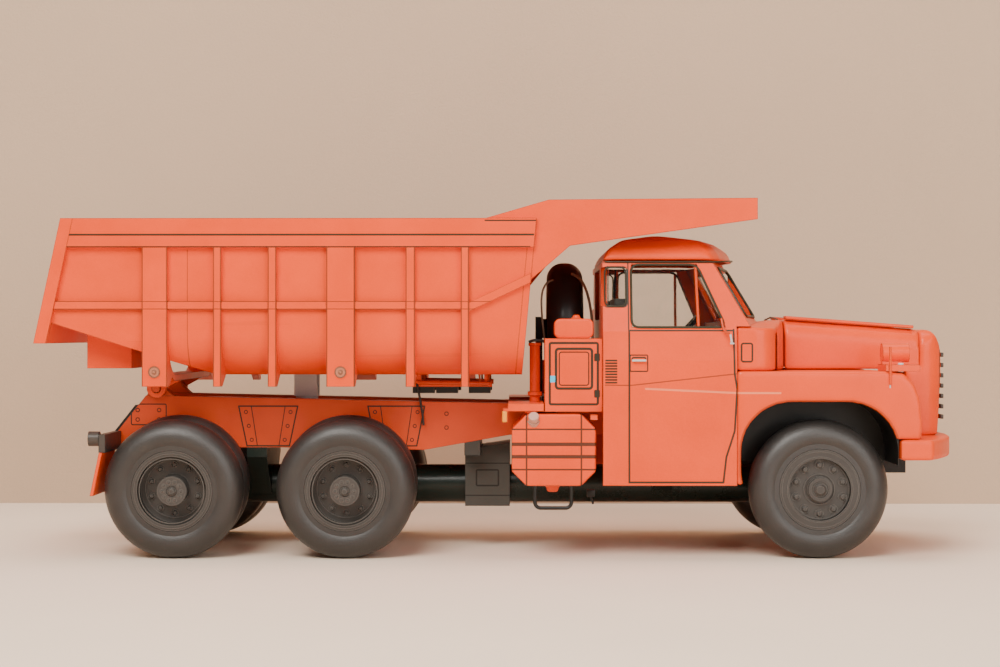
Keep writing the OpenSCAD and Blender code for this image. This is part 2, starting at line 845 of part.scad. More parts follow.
canister_x = toolbox_x + 2.3;
canister_l = 9.5;
canister_top = toolbox_top + 4.8;

module canister() {
  color(orange) {
    chamfered_block(canister_x, canister_l, toolbox_top, canister_top,
      toolbox_y[0] + 1.5, toolbox_y[0] + 9.5, 0.9);
    rod_z(canister_x + 5.4, toolbox_y[0] + 5, canister_top, canister_top + 1, 0.9);
  }
}

spare_x = 15.5;
spare_z = rail_top_front + 2.1 + tyre_r;

module spare_tyre() {
  color(tyre_black) translate([spare_x, 0, spare_z]) rotate([0, 0, -90]) tyre();
}

// Cradle on the rails, post, and the rim that the spare tyre hangs on
module spare_carrier() {
  post_x = spare_x - tyre_w / 2 - 2;
  color(black) {
    box(spare_x - 6, spare_x + 6, -rail_y, rail_y, rail_top_front, rail_top_front + 1.9);
    box(post_x - 0.9, post_x + 0.9, -3, 3, rail_top_front + 1.9, spare_z + 3);
    rod_x(post_x, spare_x - tyre_w / 2 + 1, 0, spare_z, 2.5);
    translate([spare_x, 0, spare_z]) rotate([0, 0, -90]) spin_outward() {
      translate([rim_r - rim_wall, -lip]) square([rim_wall, 2 * lip]);
      translate([0, -lip]) square([rim_r, disc_t]);
    }
  }
}

pipe_y = -21;
pipe_x = 7.7;
pipe_r = 1.3;
pipe_top = 52.4;

module standpipe() {
  color(orange) {
    rod_z(pipe_x, pipe_y, beam_top, pipe_top, pipe_r);
    rod_z(pipe_x, pipe_y, beam_top + 1.5, beam_top + 2.5, pipe_r + 0.5);
  }
}

air_tank_r = 4.2;
air_tank_y = tank_outer_y - air_tank_r - 1;

module air_tanks() {
  x1 = tank_x + tank_l;
  color(orange) for (z = [tank_low + air_tank_r, tank_top - air_tank_r]) {
    rod_x(tank_x, x1, air_tank_y, z, air_tank_r);
    box(tank_x + 4, tank_x + 7, rail_y, air_tank_y - 1, z - 2, z + 2);
  }
}

module battery_box() {
  color(orange) {
    box(toolbox_x, toolbox_x + toolbox_l, -toolbox_y[1], -toolbox_y[0], toolbox_low, toolbox_top - 6);
    box(toolbox_x + 2, toolbox_x + toolbox_l - 2, rail_y, -toolbox_y[1], toolbox_low, rail_top_front);
  }
}

// ---- tail ----

// The sloping end face of the rails
function tail_x(z) = rail_tail_x - rail_tail_slope
  * (rail_top(rail_tail_x) - z) / (rail_top(rail_tail_x) - rail_low - 1);

plate_t = 0.8;
plate_low = 28.8;
plate_top = 36.7;

module tail_plate() {
  color(black) side_plate(-rail_y, rail_y) polygon([
    [tail_x(plate_low), plate_low], [tail_x(plate_top), plate_top],
    [tail_x(plate_top) - plate_t, plate_top], [tail_x(plate_low) - plate_t, plate_low],
  ]);
}

tail_lamp_x = tail_x(rail_low + 1) + 1.7;
tail_lamp_y = 33.5;
tail_lamp_z = 29.1;
tail_lamp_r = 1.8;
bracket_low = 25.8;

module rear_lamps() {
  color("#3c3a38") both_sides() {
    rod_x(tail_lamp_x - 2.6, tail_lamp_x, tail_lamp_y, tail_lamp_z, tail_lamp_r);
    box(tail_lamp_x, tail_lamp_x + 1.6, rail_y, tail_lamp_y + 1.5, bracket_low, bracket_low + 4.4);
  }
}

flap_low = 15.4;
flap_y = [20, 36.5];

module rear_flaps() {
  x = tail_lamp_x + 0.4;
  color(orange) both_sides() side_plate(flap_y[0], flap_y[1]) polygon([
    [x, bracket_low], [x + 0.8, bracket_low], [x - 1.4, flap_low], [x - 2.2, flap_low],
  ]);
}

// ---- bed ----

function bed_front_x(z) = bed_front_low_x
  + (bed_front_top_x - bed_front_low_x) * (z - bed_low) / (bed_top - bed_low);
function bed_tail_x(z) = bed_tail_low_x
  + (bed_tail_top_x - bed_tail_low_x) * (z - tail_sill_z) / (bed_top - tail_sill_z);

rise_x = -70.15;
function floor_under(x) = bed_low + max(0, rise_x - x) * tan(tail_rise);
rise_wall = bed_wall / cos(tail_rise);
front_wall_t = 1.6;
tail_frame_w = 3;
floor_tail_x = bed_tail_x(58);

// Front view of the bed's trough, grown outward by g
module trough(g) {
  side = bed_y + g;
  low = bed_low - g;
  corner = belly_r + g;
  translate([-side, low + corner]) square([2 * side, bed_top - low - corner]);
  translate([corner - side, low]) square([2 * (side - corner), corner]);
  for (y = [corner - side, side - corner]) translate([y, low + corner]) circle(corner);
}

// Side view of the trough's length, its floor raised by up and its ends moved out
module trough_side(up, out) {
  polygon([
    [bed_tail_x(floor_under(floor_tail_x) + up) - out, floor_under(floor_tail_x - out) + up],
    [rise_x, bed_low + up], [bed_front_x(bed_low + up) - front_wall_t + out, bed_low + up],
    [bed_front_x(bed_top) - front_wall_t + out, bed_top + out],
    [bed_tail_x(bed_top) - out, bed_top + out],
  ]);
}

module bed_shell() {
  color(orange) difference() {
    intersection() {
      cross_plate(-reach, reach) trough(0);
      side_plate(-reach, reach) trough_side(0, 0);
    }
    intersection() {
      cross_plate(-reach, reach) {
        trough(-bed_wall);
        translate([-bed_y + bed_wall, bed_top - 5]) square([2 * (bed_y - bed_wall), 20]);
      }
      side_plate(-reach, reach) trough_side(rise_wall, 10);
    }
  }
}

module bed_front_wall() {
  color(orange) intersection() {
    cross_plate(-reach, reach) trough(0);
    side_plate(-reach, reach) polygon([
      [bed_front_x(bed_low), bed_low], [bed_front_x(bed_top), bed_top],
      [bed_front_x(bed_top) - front_wall_t, bed_top], [bed_front_x(bed_low) - front_wall_t, bed_low],
    ]);
  }
}

rim_low = bed_top - 7.05;
wide_ribs = [[-87.1, 6.1], [-42.6, 6.8]];
narrow_ribs = [[-69.9, 1.9], [-56.7, 2], [-23.5, 2.2], [-10.2, 1.9]];
stringer_low = bed_top - 22;
stringer_top = stringer_low + 2;
stringer_end_x = narrow_ribs[3][0] + narrow_ribs[3][1];

rib_foot_z = bed_low - 2.7;
rib_foot_in = 2.6;
rib_foot_run = 10;

// Upright rib on the bed's left side, with a foot that reaches below the belly
module rib_shape() {
  out = bed_y + rib_t;
  difference() {
    polygon([
      [out, rib_foot_z], [out, rim_low], [out - rib_foot_run, rim_low],
      [out - rib_foot_run, bed_low + 0.6], [out - rib_foot_in, rib_foot_z],
    ]);
    trough(0);
  }
}

module bed_ribs() {
  color(orange) {
    both_sides() for (rib = concat(wide_ribs, narrow_ribs))
      cross_plate(rib[0], rib[0] + rib[1]) rib_shape();
    // Cross band of the tail rib, which carries the lugs
    intersection() {
      cross_plate(wide_ribs[0][0], wide_ribs[0][0] + wide_ribs[0][1]) difference() {
        trough(rib_t);
        trough(0);
      }
      box(-reach, 0, 1 - bed_y, bed_y - 1, 0, bed_low + 2);
    }
    both_sides() side_plate(bed_y, bed_y + rib_t - 0.4) {
      polygon([
        [bed_tail_x(stringer_low) + tail_frame_w, stringer_low], [stringer_end_x, stringer_low],
        [stringer_end_x, stringer_top], [bed_tail_x(stringer_top) + tail_frame_w, stringer_top],
      ]);
      polygon([
        [stringer_end_x, stringer_low - 0.5], [bed_front_x(stringer_low + 7.5), stringer_low + 6.5],
        [bed_front_x(stringer_low + 7.5), stringer_low + 8.8],
        [stringer_end_x, stringer_top - 0.3],
      ]);
    }
  }
}

module bed_rims() {
  color(orange) both_sides() side_plate(bed_y, bed_y + rib_t) polygon([
    [bed_tail_x(rim_low) + tail_frame_w, rim_low], [bed_front_x(rim_low), rim_low],
    [bed_front_x(bed_top), bed_top], [bed_tail_x(bed_top) + tail_frame_w, bed_top],
  ]);
}

// Frame round the open tail: two sloping posts and the sill below the floor
module bed_tail_frame() {
  sill_top = floor_under(bed_tail_x(tail_sill_z) + tail_frame_w);
  color(orange) {
    both_sides() side_plate(bed_y, bed_y + rib_t) polygon([
      [bed_tail_x(tail_sill_z), tail_sill_z], [bed_tail_x(tail_sill_z) + tail_frame_w, tail_sill_z],
      [bed_tail_x(bed_top) + tail_frame_w, bed_top], [bed_tail_x(bed_top), bed_top],
    ]);
    side_plate(-bed_y, bed_y) polygon([
      [bed_tail_x(tail_sill_z), tail_sill_z], [bed_tail_x(tail_sill_z) + tail_frame_w, tail_sill_z],
      [bed_tail_x(sill_top) + tail_frame_w, floor_under(bed_tail_x(sill_top) + tail_frame_w)],
      [bed_tail_x(floor_under(floor_tail_x)), floor_under(floor_tail_x)],
    ]);
  }
}

canopy_wall = 1.2;
canopy_tip = 5.1;
canopy_knee_x = 16.1;
canopy_knee = 11.5;
gusset_z = bed_top - 14.8;
left_lip = 2;
left_lip_x = 24;
canopy_rear_x = -4.45;
canopy_bend_x = 11;

module bed_canopy() {
  top = canopy_z;
  color(orange) {
    // Deep flange on the right, and a shallow lip with a gusset on the left
    side_plate(-bed_y, canopy_wall - bed_y) polygon([
      [canopy_rear_x, bed_top], [canopy_bend_x, top - 0.4], [canopy_front_x, top],
      [canopy_front_x, top - canopy_tip], [canopy_knee_x, top - canopy_knee],
      [bed_front_x(gusset_z), gusset_z], [bed_front_x(bed_top), bed_top],
    ]);
    side_plate(bed_y - canopy_wall, bed_y) polygon([
      [canopy_rear_x, bed_top], [canopy_bend_x, top - 0.4], [canopy_front_x, top],
      [canopy_front_x, top - left_lip], [left_lip_x, top - 0.2 - left_lip],
      [canopy_knee_x - 1.5, top + 1.5 - canopy_knee],
      [bed_front_x(gusset_z), gusset_z], [bed_front_x(bed_top), bed_top],
    ]);
    side_plate(canopy_wall - bed_y, bed_y - canopy_wall) polygon([
      [canopy_rear_x + 4, bed_top + 0.2], [canopy_rear_x, bed_top], [canopy_bend_x, top - 0.4],
      [canopy_front_x, top], [canopy_front_x, top - canopy_wall],
      [canopy_bend_x, top - 0.4 - canopy_wall], [bed_front_x(bed_top), top - 2],
      [bed_front_x(bed_top), bed_top], [bed_front_x(bed_top) - front_wall_t, bed_top],
    ]);
  }
}

belly = bed_low - rib_t;
rack_y = [14, 15.5];
rack_z = [41.3, 42.6];
rack_x = [-23.2, -3];
hanger_l = 1.4;
tail_beam = [-102.8, -91.8];
tail_beam_z = [46.1, 50.9];

// Lugs on the hinge pins, the tail's cross beam, and the rack that the pads hang from
module bed_subframe() {
  lug_rear_x = wide_ribs[0][0];
  lug_front_x = lug_rear_x + wide_ribs[0][1];
  color(orange) {
    both_sides() {
      difference() {
        side_plate(lug_y, lug_y + lug_t) intersection() {
          union() {
            translate([hinge_x, hinge_z]) circle(lug_r);
            polygon([
              [hinge_x - lug_r, hinge_z], [hinge_x + lug_r, hinge_z],
              [lug_front_x, belly], [lug_rear_x, belly],
            ]);
          }
          translate([hinge_x - 10, belly - 10]) square([20, 10]);
        }
        rod_y(hinge_x, 0, lug_y + 2 * lug_t, hinge_z, pin_r + pin_fit);
      }
      box(rack_x[0], rack_x[1], rack_y[0], rack_y[1], rack_z[0], rack_z[1]);
      for (x = [rack_x[0] + 1, rack_x[1] - 2])
        box(x, x + hanger_l, rack_y[0], rack_y[1], rack_z[0], bed_low);
    }
    side_plate(-26, 26) polygon([
      [tail_beam[0], tail_beam_z[0]], [tail_beam[1], tail_beam_z[0]],
      [tail_beam[1], floor_under(tail_beam[1])], [tail_beam[0], floor_under(tail_beam[0])],
    ]);
  }
}

pad_l = 5.5;
pad_h = 1.6;
pad_x = [-23, -17.1, -8.9];

// Pads under the rack, which face the rails
module rest_pads() {
  color(black) both_sides() for (x = pad_x)
    box(x, x + pad_l, rail_inner + 1.4, rack_y[1], rack_z[0] - pad_h, rack_z[0]);
}

ram_pin_r = 0.7;
bracket_half = 2.9;
bracket_y = [3.1, 4];
bracket_foot_z = ram_pin_z - 2.2;

// Two cheeks under the belly with the pin for the ram's eye
module ram_bracket() {
  color(steel) {
    both_sides() box(ram_x - bracket_half, ram_x + bracket_half, bracket_y[0], bracket_y[1],
      bracket_foot_z, bed_low);
    rod_y(ram_x, -bracket_y[1], bracket_y[1], ram_pin_z, ram_pin_r);
  }
}

// ---- ram ----

ram_low = trunnion_z - 6.7;
head_r = 2.7;
eye_r = ram_pin_r + 1.2;
head_low = ram_pin_z - 3.2;
barrel_top = head_low - 1.4;
lower_top = head_low - 0.8;
upper_top = head_low - 0.2;
lower_r = ram_r - ram_wall - ram_fit;
upper_r = lower_r - ram_wall - ram_fit;
rod_r = upper_r - ram_wall - ram_fit;
floor_t = 0.6;

// Barrel or stage: a cup that the next stage slides in
module cup(low, top, r) {
  difference() {
    rod_z(ram_x, 0, low, top, r);
    rod_z(ram_x, 0, low + floor_t, top + 1, r - ram_wall);
  }
}

module ram_barrel() {
  color(steel) {
    cup(ram_low, barrel_top, ram_r);
    both_sides() rod_y(ram_x, ram_r - 0.3, trunnion_y + 3, trunnion_z, trunnion_r);
  }
}

module ram_lower_stage() {
  color(steel) cup(ram_low + floor_t + 0.1, lower_top, lower_r);
}

module ram_upper_stage() {
  color(steel) cup(ram_low + 2 * (floor_t + 0.1), upper_top, upper_r);
}

// Rod, with an eye whose bore leaves room for the drift of its pin
module ram_rod() {
  color(steel) {
    rod_z(ram_x, 0, ram_low + 3 * (floor_t + 0.1), head_low, rod_r);
    difference() {
      intersection() {
        rod_z(ram_x, 0, head_low, ram_pin_z + head_r, 2.87);
        union() {
          rod_y(ram_x, -4, 4, ram_pin_z, head_r);
          box(ram_x - 4, ram_x + 4, -4, 4, head_low, ram_pin_z);
        }
      }
      rod_y(ram_x, -5, 5, ram_pin_z, eye_r);
    }
  }
}

// ---- the wheels in place ----

module front_left_tyre() { color(tyre_black) at_front_wheel() tyre(); }
module front_left_rim() { color(rim_grey) at_front_wheel() front_rim(); }
module front_right_tyre() { color(tyre_black) mirror([0, 1, 0]) at_front_wheel() tyre(); }
module front_right_rim() { color(rim_grey) mirror([0, 1, 0]) at_front_wheel() front_rim(); }
module middle_left_tyres() { color(tyre_black) at_rear_wheel(middle_axle_x) twin_tyres(); }
module middle_left_rim() { color(rim_grey) at_rear_wheel(middle_axle_x) twin_rim(); }
module middle_right_tyres() { color(tyre_black) mirror([0, 1, 0]) at_rear_wheel(middle_axle_x) twin_tyres(); }
module middle_right_rim() { color(rim_grey) mirror([0, 1, 0]) at_rear_wheel(middle_axle_x) twin_rim(); }
module rear_left_tyres() { color(tyre_black) at_rear_wheel(rear_axle_x) twin_tyres(); }
module rear_left_rim() { color(rim_grey) at_rear_wheel(rear_axle_x) twin_rim(); }
module rear_right_tyres() { color(tyre_black) mirror([0, 1, 0]) at_rear_wheel(rear_axle_x) twin_tyres(); }
module rear_right_rim() { color(rim_grey) mirror([0, 1, 0]) at_rear_wheel(rear_axle_x) twin_rim(); }

frame_rails();
bed_hinge();
backbone_tube();
transfer_case();
front_half_axles();
rear_half_axles();
cab_shell();
cab_roof();
windscreen();
side_windows();
seats();
dashboard();
steering_wheel();
scuttle();
bonnet();
nose_panel();
front_fenders();
arch_liners();
front_bumper();
tow_block();
headlamps();
fuel_tank();
tank_step();
side_beams();
tool_box();
canister();
spare_tyre();
spare_carrier();
standpipe();
air_tanks();
battery_box();
tail_plate();
rear_lamps();
rear_flaps();
bed_shell();
bed_front_wall();
bed_ribs();
bed_rims();
bed_tail_frame();
bed_canopy();
bed_subframe();
rest_pads();
ram_bracket();
ram_barrel();
ram_lower_stage();
ram_upper_stage();
ram_rod();
front_left_tyre();
front_left_rim();
front_right_tyre();
front_right_rim();
middle_left_tyres();
middle_left_rim();
middle_right_tyres();
middle_right_rim();
rear_left_tyres();
rear_left_rim();
rear_right_tyres();
rear_right_rim();
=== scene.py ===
import math
import bpy
from mathutils import Vector, Matrix


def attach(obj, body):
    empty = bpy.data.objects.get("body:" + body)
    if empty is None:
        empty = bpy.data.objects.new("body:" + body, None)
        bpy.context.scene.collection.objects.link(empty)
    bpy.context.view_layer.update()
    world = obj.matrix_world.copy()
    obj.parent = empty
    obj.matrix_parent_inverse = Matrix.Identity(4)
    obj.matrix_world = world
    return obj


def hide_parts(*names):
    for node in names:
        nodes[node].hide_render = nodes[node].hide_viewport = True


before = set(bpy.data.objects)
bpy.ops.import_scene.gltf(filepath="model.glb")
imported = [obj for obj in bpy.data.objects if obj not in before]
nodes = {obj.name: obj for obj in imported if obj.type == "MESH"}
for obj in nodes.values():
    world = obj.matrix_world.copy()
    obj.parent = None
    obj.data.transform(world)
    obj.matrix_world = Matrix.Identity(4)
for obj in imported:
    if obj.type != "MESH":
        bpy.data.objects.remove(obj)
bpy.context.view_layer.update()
mm = 0.001
print("frame loaded,", len(nodes), "nodes")


view = {"place": (4.0, -529.0, 54.7), "yaw": 0.56, "lens": 73.5}
lights = {  # name: place in mm, size in mm, power in watts, colour
    "keyLight": ((-200, -620, 560), 420, 9.0, (1.0, 0.96, 0.90)),
    "fillLight": ((360, -640, 240), 460, 3.3, (1.0, 0.97, 0.93)),
    "topLight": ((40, 30, 640), 420, 3.0, (1.0, 0.97, 0.93)),
}
# the wall colour is the floor cloth's colour made darker: painted shade on the upright part of the cloth
floorLook = {"size": 6.0, "back": 128.0, "colour": (0.94, 0.75, 0.59), "wall": (0.56, 0.405, 0.28),
             "world": (0.72, 0.66, 0.60, 1), "worldPower": 0.26}


def placeCamera():
    data = bpy.data.cameras.new("camera")
    data.lens = view["lens"]
    data.sensor_width = 36
    data.clip_start = 0.01
    camera = bpy.data.objects.new("camera", data)
    camera.location = Vector(view["place"]) * mm
    camera.rotation_euler = (math.radians(90), 0, math.radians(view["yaw"]))
    bpy.context.collection.objects.link(camera)
    bpy.context.scene.camera = camera


def placeLights():
    for name, (place, size, power, colour) in lights.items():
        data = bpy.data.lights.new(name, "AREA")
        data.size = size * mm
        data.energy = power
        data.color = colour
        lamp = bpy.data.objects.new(name, data)
        lamp.location = Vector(place) * mm
        lamp.rotation_euler = (Vector((0, 0, 40 * mm)) - lamp.location).to_track_quat("-Z", "Y").to_euler()
        bpy.context.collection.objects.link(lamp)
    world = bpy.data.worlds.new("studio")
    world.use_nodes = True
    sky = world.node_tree.nodes["Background"]
    sky.inputs["Color"].default_value = floorLook["world"]
    sky.inputs["Strength"].default_value = floorLook["worldPower"]
    bpy.context.scene.world = world


placeCamera()
placeLights()
print("camera and lights placed")


class Wire:
    # a socket that can be added, scaled and compared like a number
    def __init__(self, finish, socket):
        self.finish, self.socket = finish, socket

    def math(self, operation, *others):
        return self.finish.node("Math", {"operation": operation}, self, *others)

    def __add__(self, other):
        return self.math("ADD", other)

    def __sub__(self, other):
        return self.math("SUBTRACT", other)

    def __rsub__(self, other):
        return self.finish.node("Math", {"operation": "SUBTRACT"}, other, self)

    def __mul__(self, other):
        return self.math("MULTIPLY", other)

    def __lt__(self, other):
        return self.math("LESS_THAN", other)

    def __gt__(self, other):
        return self.math("GREATER_THAN", other)

    def __abs__(self):
        return self.math("ABSOLUTE")

    __radd__ = __add__
    __rmul__ = __mul__

    def most(self, other):
        return self.math("MAXIMUM", other)

    def least(self, other):
        return self.math("MINIMUM", other)

    def out(self, name):
        return Wire(self.finish, self.socket.node.outputs[name])


class Finish:
    # one material and the nodes that are added to it
    def __init__(self, name, **look):
        self.material = bpy.data.materials.new(name)
        self.material.use_nodes = True
        self.tree = self.material.node_tree
        self.shader = self.tree.nodes["Principled BSDF"]
        self.feed(self.shader, look)

    def feed(self, node, values):
        for key, value in values.items():
            socket = node.inputs[key]
            if isinstance(value, Wire):
                self.tree.links.new(value.socket, socket)
            elif isinstance(value, tuple) and len(value) == 3 and socket.type == "RGBA":
                socket.default_value = (*value, 1)
            else:
                socket.default_value = value

    def node(self, kind, settings, *values, **named):
        node = self.tree.nodes.new("ShaderNode" + kind)
        for key, value in settings.items():
            if key == "stops":
                for index, (at, colour) in enumerate(value):
                    stop = node.color_ramp.elements[index] if index < 2 else node.color_ramp.elements.new(at)
                    stop.position, stop.color = at, (*colour, 1)
            else:
                setattr(node, key, value)
        self.feed(node, dict(enumerate(values)))
        self.feed(node, {key.replace("_", " "): value for key, value in named.items()})
        return Wire(self, next(s for s in node.outputs if s.enabled))

    def place(self):
        # the point's X, Y and Z in millimetres
        spot = self.node("TexCoord", {}).out("Object")
        scaled = self.node("VectorMath", {"operation": "SCALE"}, spot, Scale=1000.0)
        parts = self.node("SeparateXYZ", {}, scaled)
        return scaled, parts.out("X"), parts.out("Y"), parts.out("Z")

    def noise(self, spot, scale, detail=2.0, rough=0.5):
        return self.node("TexNoise", {}, Vector=spot, Scale=scale, Detail=detail, Roughness=rough)

    def blend(self, amount, first, second):
        mix = self.tree.nodes.new("ShaderNodeMix")
        mix.data_type = "RGBA"
        pins = [s for s in mix.inputs if s.enabled]
        for socket, value in zip(pins, (amount, first, second)):
            if isinstance(value, Wire):
                self.tree.links.new(value.socket, socket)
            else:
                socket.default_value = (*value, 1) if isinstance(value, tuple) else value
        return Wire(self, next(s for s in mix.outputs if s.enabled))

    def edgeMask(self, radius, limit):
        # 1 along the corners of the piece, where the cut card shows
        bent = self.node("Bevel", {"samples": 4}, Radius=radius)
        flat = self.node("NewGeometry", {}).out("Normal")
        same = self.node("VectorMath", {"operation": "DOT_PRODUCT"}, bent, flat).out("Value")
        return same < limit

    def finish(self, colour, rough, height=None, bumpDepth=0.05, bumpReach=0.0002):
        values = {"Base Color": colour, "Roughness": rough}
        if height is not None:
            values["Normal"] = self.node("Bump", {}, Strength=bumpDepth, Distance=bumpReach, Height=height)
        self.feed(self.shader, values)
        return self.material


class Print:
    # collects the printed lines of one material, and its painted highlight and painted shadow lines; u and v are the
    # two directions of the sheet
    def __init__(self, finish, u, v):
        self.finish, self.u, self.v, self.mask = finish, u, v, None

    def add(self, mark):
        self.mask = mark if self.mask is None else self.mask.most(mark)
        return self

    def upright(self, at, low, high, wide=0.34):
        return self.add((abs(self.u - at) < wide / 2) * (self.v > low) * (self.v < high))

    def level(self, at, left, right, wide=0.34):
        return self.add((abs(self.v - at) < wide / 2) * (self.u > left) * (self.u < right))

    def stroke(self, start, end, wide=0.34):
        alongU, alongV = end[0] - start[0], end[1] - start[1]
        square = alongU ** 2 + alongV ** 2
        fromU, fromV = self.u - start[0], self.v - start[1]
        share = (fromU * (alongU / square) + fromV * (alongV / square)).most(0.0).least(1.0)
        offU, offV = fromU - share * alongU, fromV - share * alongV
        return self.add((offU * offU + offV * offV) < (wide / 2) ** 2)

    def path(self, points, wide=0.34):
        for start, end in zip(points, points[1:]):
            self.stroke(start, end, wide)
        return self

    def radius(self, centre):
        fromU, fromV = self.u - centre[0], self.v - centre[1]
        return (fromU * fromU + fromV * fromV).math("SQRT")

    def ring(self, centre, radius, wide=0.3):
        return self.add(abs(self.radius(centre) - radius) < wide / 2)

    def frameDistance(self, left, right, low, high, corner):
        overU = abs(self.u - (left + right) / 2) - ((right - left) / 2 - corner)
        overV = abs(self.v - (low + high) / 2) - ((high - low) / 2 - corner)
        outU, outV = overU.most(0.0), overV.most(0.0)
        return (outU * outU + outV * outV).math("SQRT") + overU.most(overV).least(0.0) - corner

    def frame(self, left, right, low, high, corner=0.6, wide=0.34):
        return self.add(abs(self.frameDistance(left, right, low, high, corner)) < wide / 2)

    def patch(self, left, right, low, high, corner=0.3):
        return self.add(self.frameDistance(left, right, low, high, corner) < 0.0)

    def draw(self, lines):
        # each line: its kind, its places in mm and, last, its width or corner
        for kind, *places in lines:
            getattr(self, kind)(*places)
        return self


# the pale fold ink is a painted highlight laid along folds
inks = {"orange": (0.80, 0.064, 0.004), "deepOrange": (0.58, 0.056, 0.010), "line": (0.030, 0.022, 0.012),
        "edge": (0.14, 0.032, 0.010), "paintedHighlight": (0.88, 0.30, 0.15)}
varnish = {"Coat Weight": 0.12, "Coat Roughness": 0.2, "Specular IOR Level": 0.2}


def cardStock(name, ink, edgeInk=inks["edge"], rough=0.42, draw=None, mottle=0.5, edges=True):
    # varnished printed card: mottled ink, a fine grain, dark cut edges and its printed lines, with painted highlight
    # and painted shadow lines where drawn
    card = Finish(name, **varnish)
    spot, x, y, z = card.place()
    cloud = card.noise(spot, 0.09, 3.0)
    grain = card.noise(spot, 3.2, 1.0)
    shade = (cloud - 0.5) * mottle + (grain - 0.5) * 0.22
    dark = tuple(c * 0.72 for c in ink)
    light = tuple(min(1.0, c * 1.22) for c in ink)
    colour = card.blend((shade + 0.5).most(0.0).least(1.0), dark, light)
    if edges:
        colour = card.blend(card.edgeMask(0.00028, 0.975) * 0.85, colour, edgeInk)
    for ink2, marks in (draw(card, x, y, z) if draw else []):
        colour = card.blend(marks, colour, ink2)
    gloss = (cloud - 0.5) * 0.25 + (grain - 0.5) * 0.10 + rough
    ripple = card.noise(spot, 0.35, 2.0) + grain * 0.10
    return card.finish(colour, gloss, ripple, 0.25, 0.00035)


bedPrint = {
    "from": 36.6,  # the side wall starts at this |Y|
    "rim": [("level", 78.5, -108.6, 7.4, 0.46), ("level", 81.9, -4.5, 8.0, 0.34), ("level", 75.6, -108, 6.5, 0.26)],
    "stringer": [("level", 60.6, -111, 6, 0.2), ("level", 62.4, -111, 6, 0.2)],
    "ribs": ((-87.1, 6.1), (-42.6, 6.8), (-69.9, 1.9), (-56.7, 2.0), (-23.5, 2.2), (-10.2, 1.9)),  # rear edge, width
    "ribLow": 41, "ribTop": 75.4, "ribLine": 0.24,
}


def bedMarks(card, x, y, z):
    side = abs(y) > bedPrint["from"]
    rim = Print(card, x, z).draw(bedPrint["rim"])
    edges = Print(card, x, z).draw(bedPrint["stringer"])
    low, top, line = bedPrint["ribLow"], bedPrint["ribTop"], bedPrint["ribLine"]
    for left, wide in bedPrint["ribs"]:
        edges.upright(left + line / 2, low, top, line).upright(left + wide - line / 2, low, top, line)
    return [(inks["line"], rim.mask * side), (inks["edge"], edges.mask * side * 0.85)]


def shellMarks(card, x, y, z):
    seam = Print(card, x, z).upright(-76.35, 44, 75, 0.22).mask
    # darker streaks on the lower part of the shell, below Z 60
    lowerStreaks = card.noise(card.node("CombineXYZ", {}, x * 0.02, y * 0.15, z * 0.5), 1.0, 3.0) > 0.66
    return [(inks["edge"], seam * 0.6), (inks["deepOrange"], lowerStreaks * (z < 60) * 0.25)]


cabPrint = {
    "from": 29,  # the side starts at this |Y|
    "door": [
        ("path", [(55.4, 55.6), (55.6, 45), (56.2, 41.3), (55.6, 31.2), (53.6, 25), (52.9, 18.9)], 0.46),  # front edge
        ("upright", 30.3, 18.7, 55.4, 0.46),  # rear edge
        ("level", 18.9, 30.3, 52.9, 0.46),  # foot
        ("level", 55.4, 30.3, 55.6, 0.4),  # belt
        ("frame", 30.5, 34.7, 45.6, 49.5, 0.3, 0.3),  # handle's plate
        ("frame", 31.0, 34.2, 48.1, 48.9, 0.3, 0.36),
        ("upright", 30.2, 55.4, 72.2, 0.34),  # the post behind the door
        ("frame", 24.2, 29.9, 61.1, 70.9, 1.0, 0.34),  # corner window
    ],
    "louvre": [("patch", 24.5, 27.4, 42.6, 48.4, 0.2)], "slatPitch": 1 / 1.5, "slatShare": 0.62,
    "shadow": [("path", [(24.5, 42.3), (30.5, 42.2), (56.0, 45.0)], 0.3)],
    # the pale line along the fold is a painted highlight
    "foldHighlight": [("stroke", (34.3, 41.4), (56.2, 40.4), 0.5)],
    "gutter": [("level", 71.9, 24, 57, 0.3)],
}


def cabMarks(card, x, y, z):
    side = abs(y) > cabPrint["from"]
    door = Print(card, x, z).draw(cabPrint["door"]).mask
    slats = (z * (1 / cabPrint["slatPitch"])).math("FRACT") < cabPrint["slatShare"]
    louvre = Print(card, x, z).draw(cabPrint["louvre"]).mask * slats
    shadow = Print(card, x, z).draw(cabPrint["shadow"]).mask
    foldHighlight = Print(card, x, z).draw(cabPrint["foldHighlight"]).mask
    gutter = Print(card, x, z).draw(cabPrint["gutter"]).mask
    # the pale fold line is a painted highlight
    return [(inks["paintedHighlight"], foldHighlight * side * 0.55), (inks["edge"], shadow * side * 0.75),
            (inks["line"], door * side), (inks["line"], louvre * side), (inks["line"], gutter * side * 0.7)]


railPrint = {
    "from": 14.9, "low": 26.4, "top": 36.4,
    "plates": ((-66.9, -52.0, -64.8, -54.1), (-34.3, -20.0, -32.4, -22.0)),  # top left and right, foot left and right
    "rivets": (0.15, 0.5, 0.85), "rivetIn": 1.5, "rivetR": 0.4,
    "hinge": [("frame", -94.0, -85.2, 31.7, 36.9, 0.4, 0.3)],
    "holes": ((-92.4, 35.4), (-87.0, 35.4), (-92.4, 33.0), (-87.0, 33.0), (-14.5, 31), (-14.5, 34.5)), "holeR": 0.45,
}


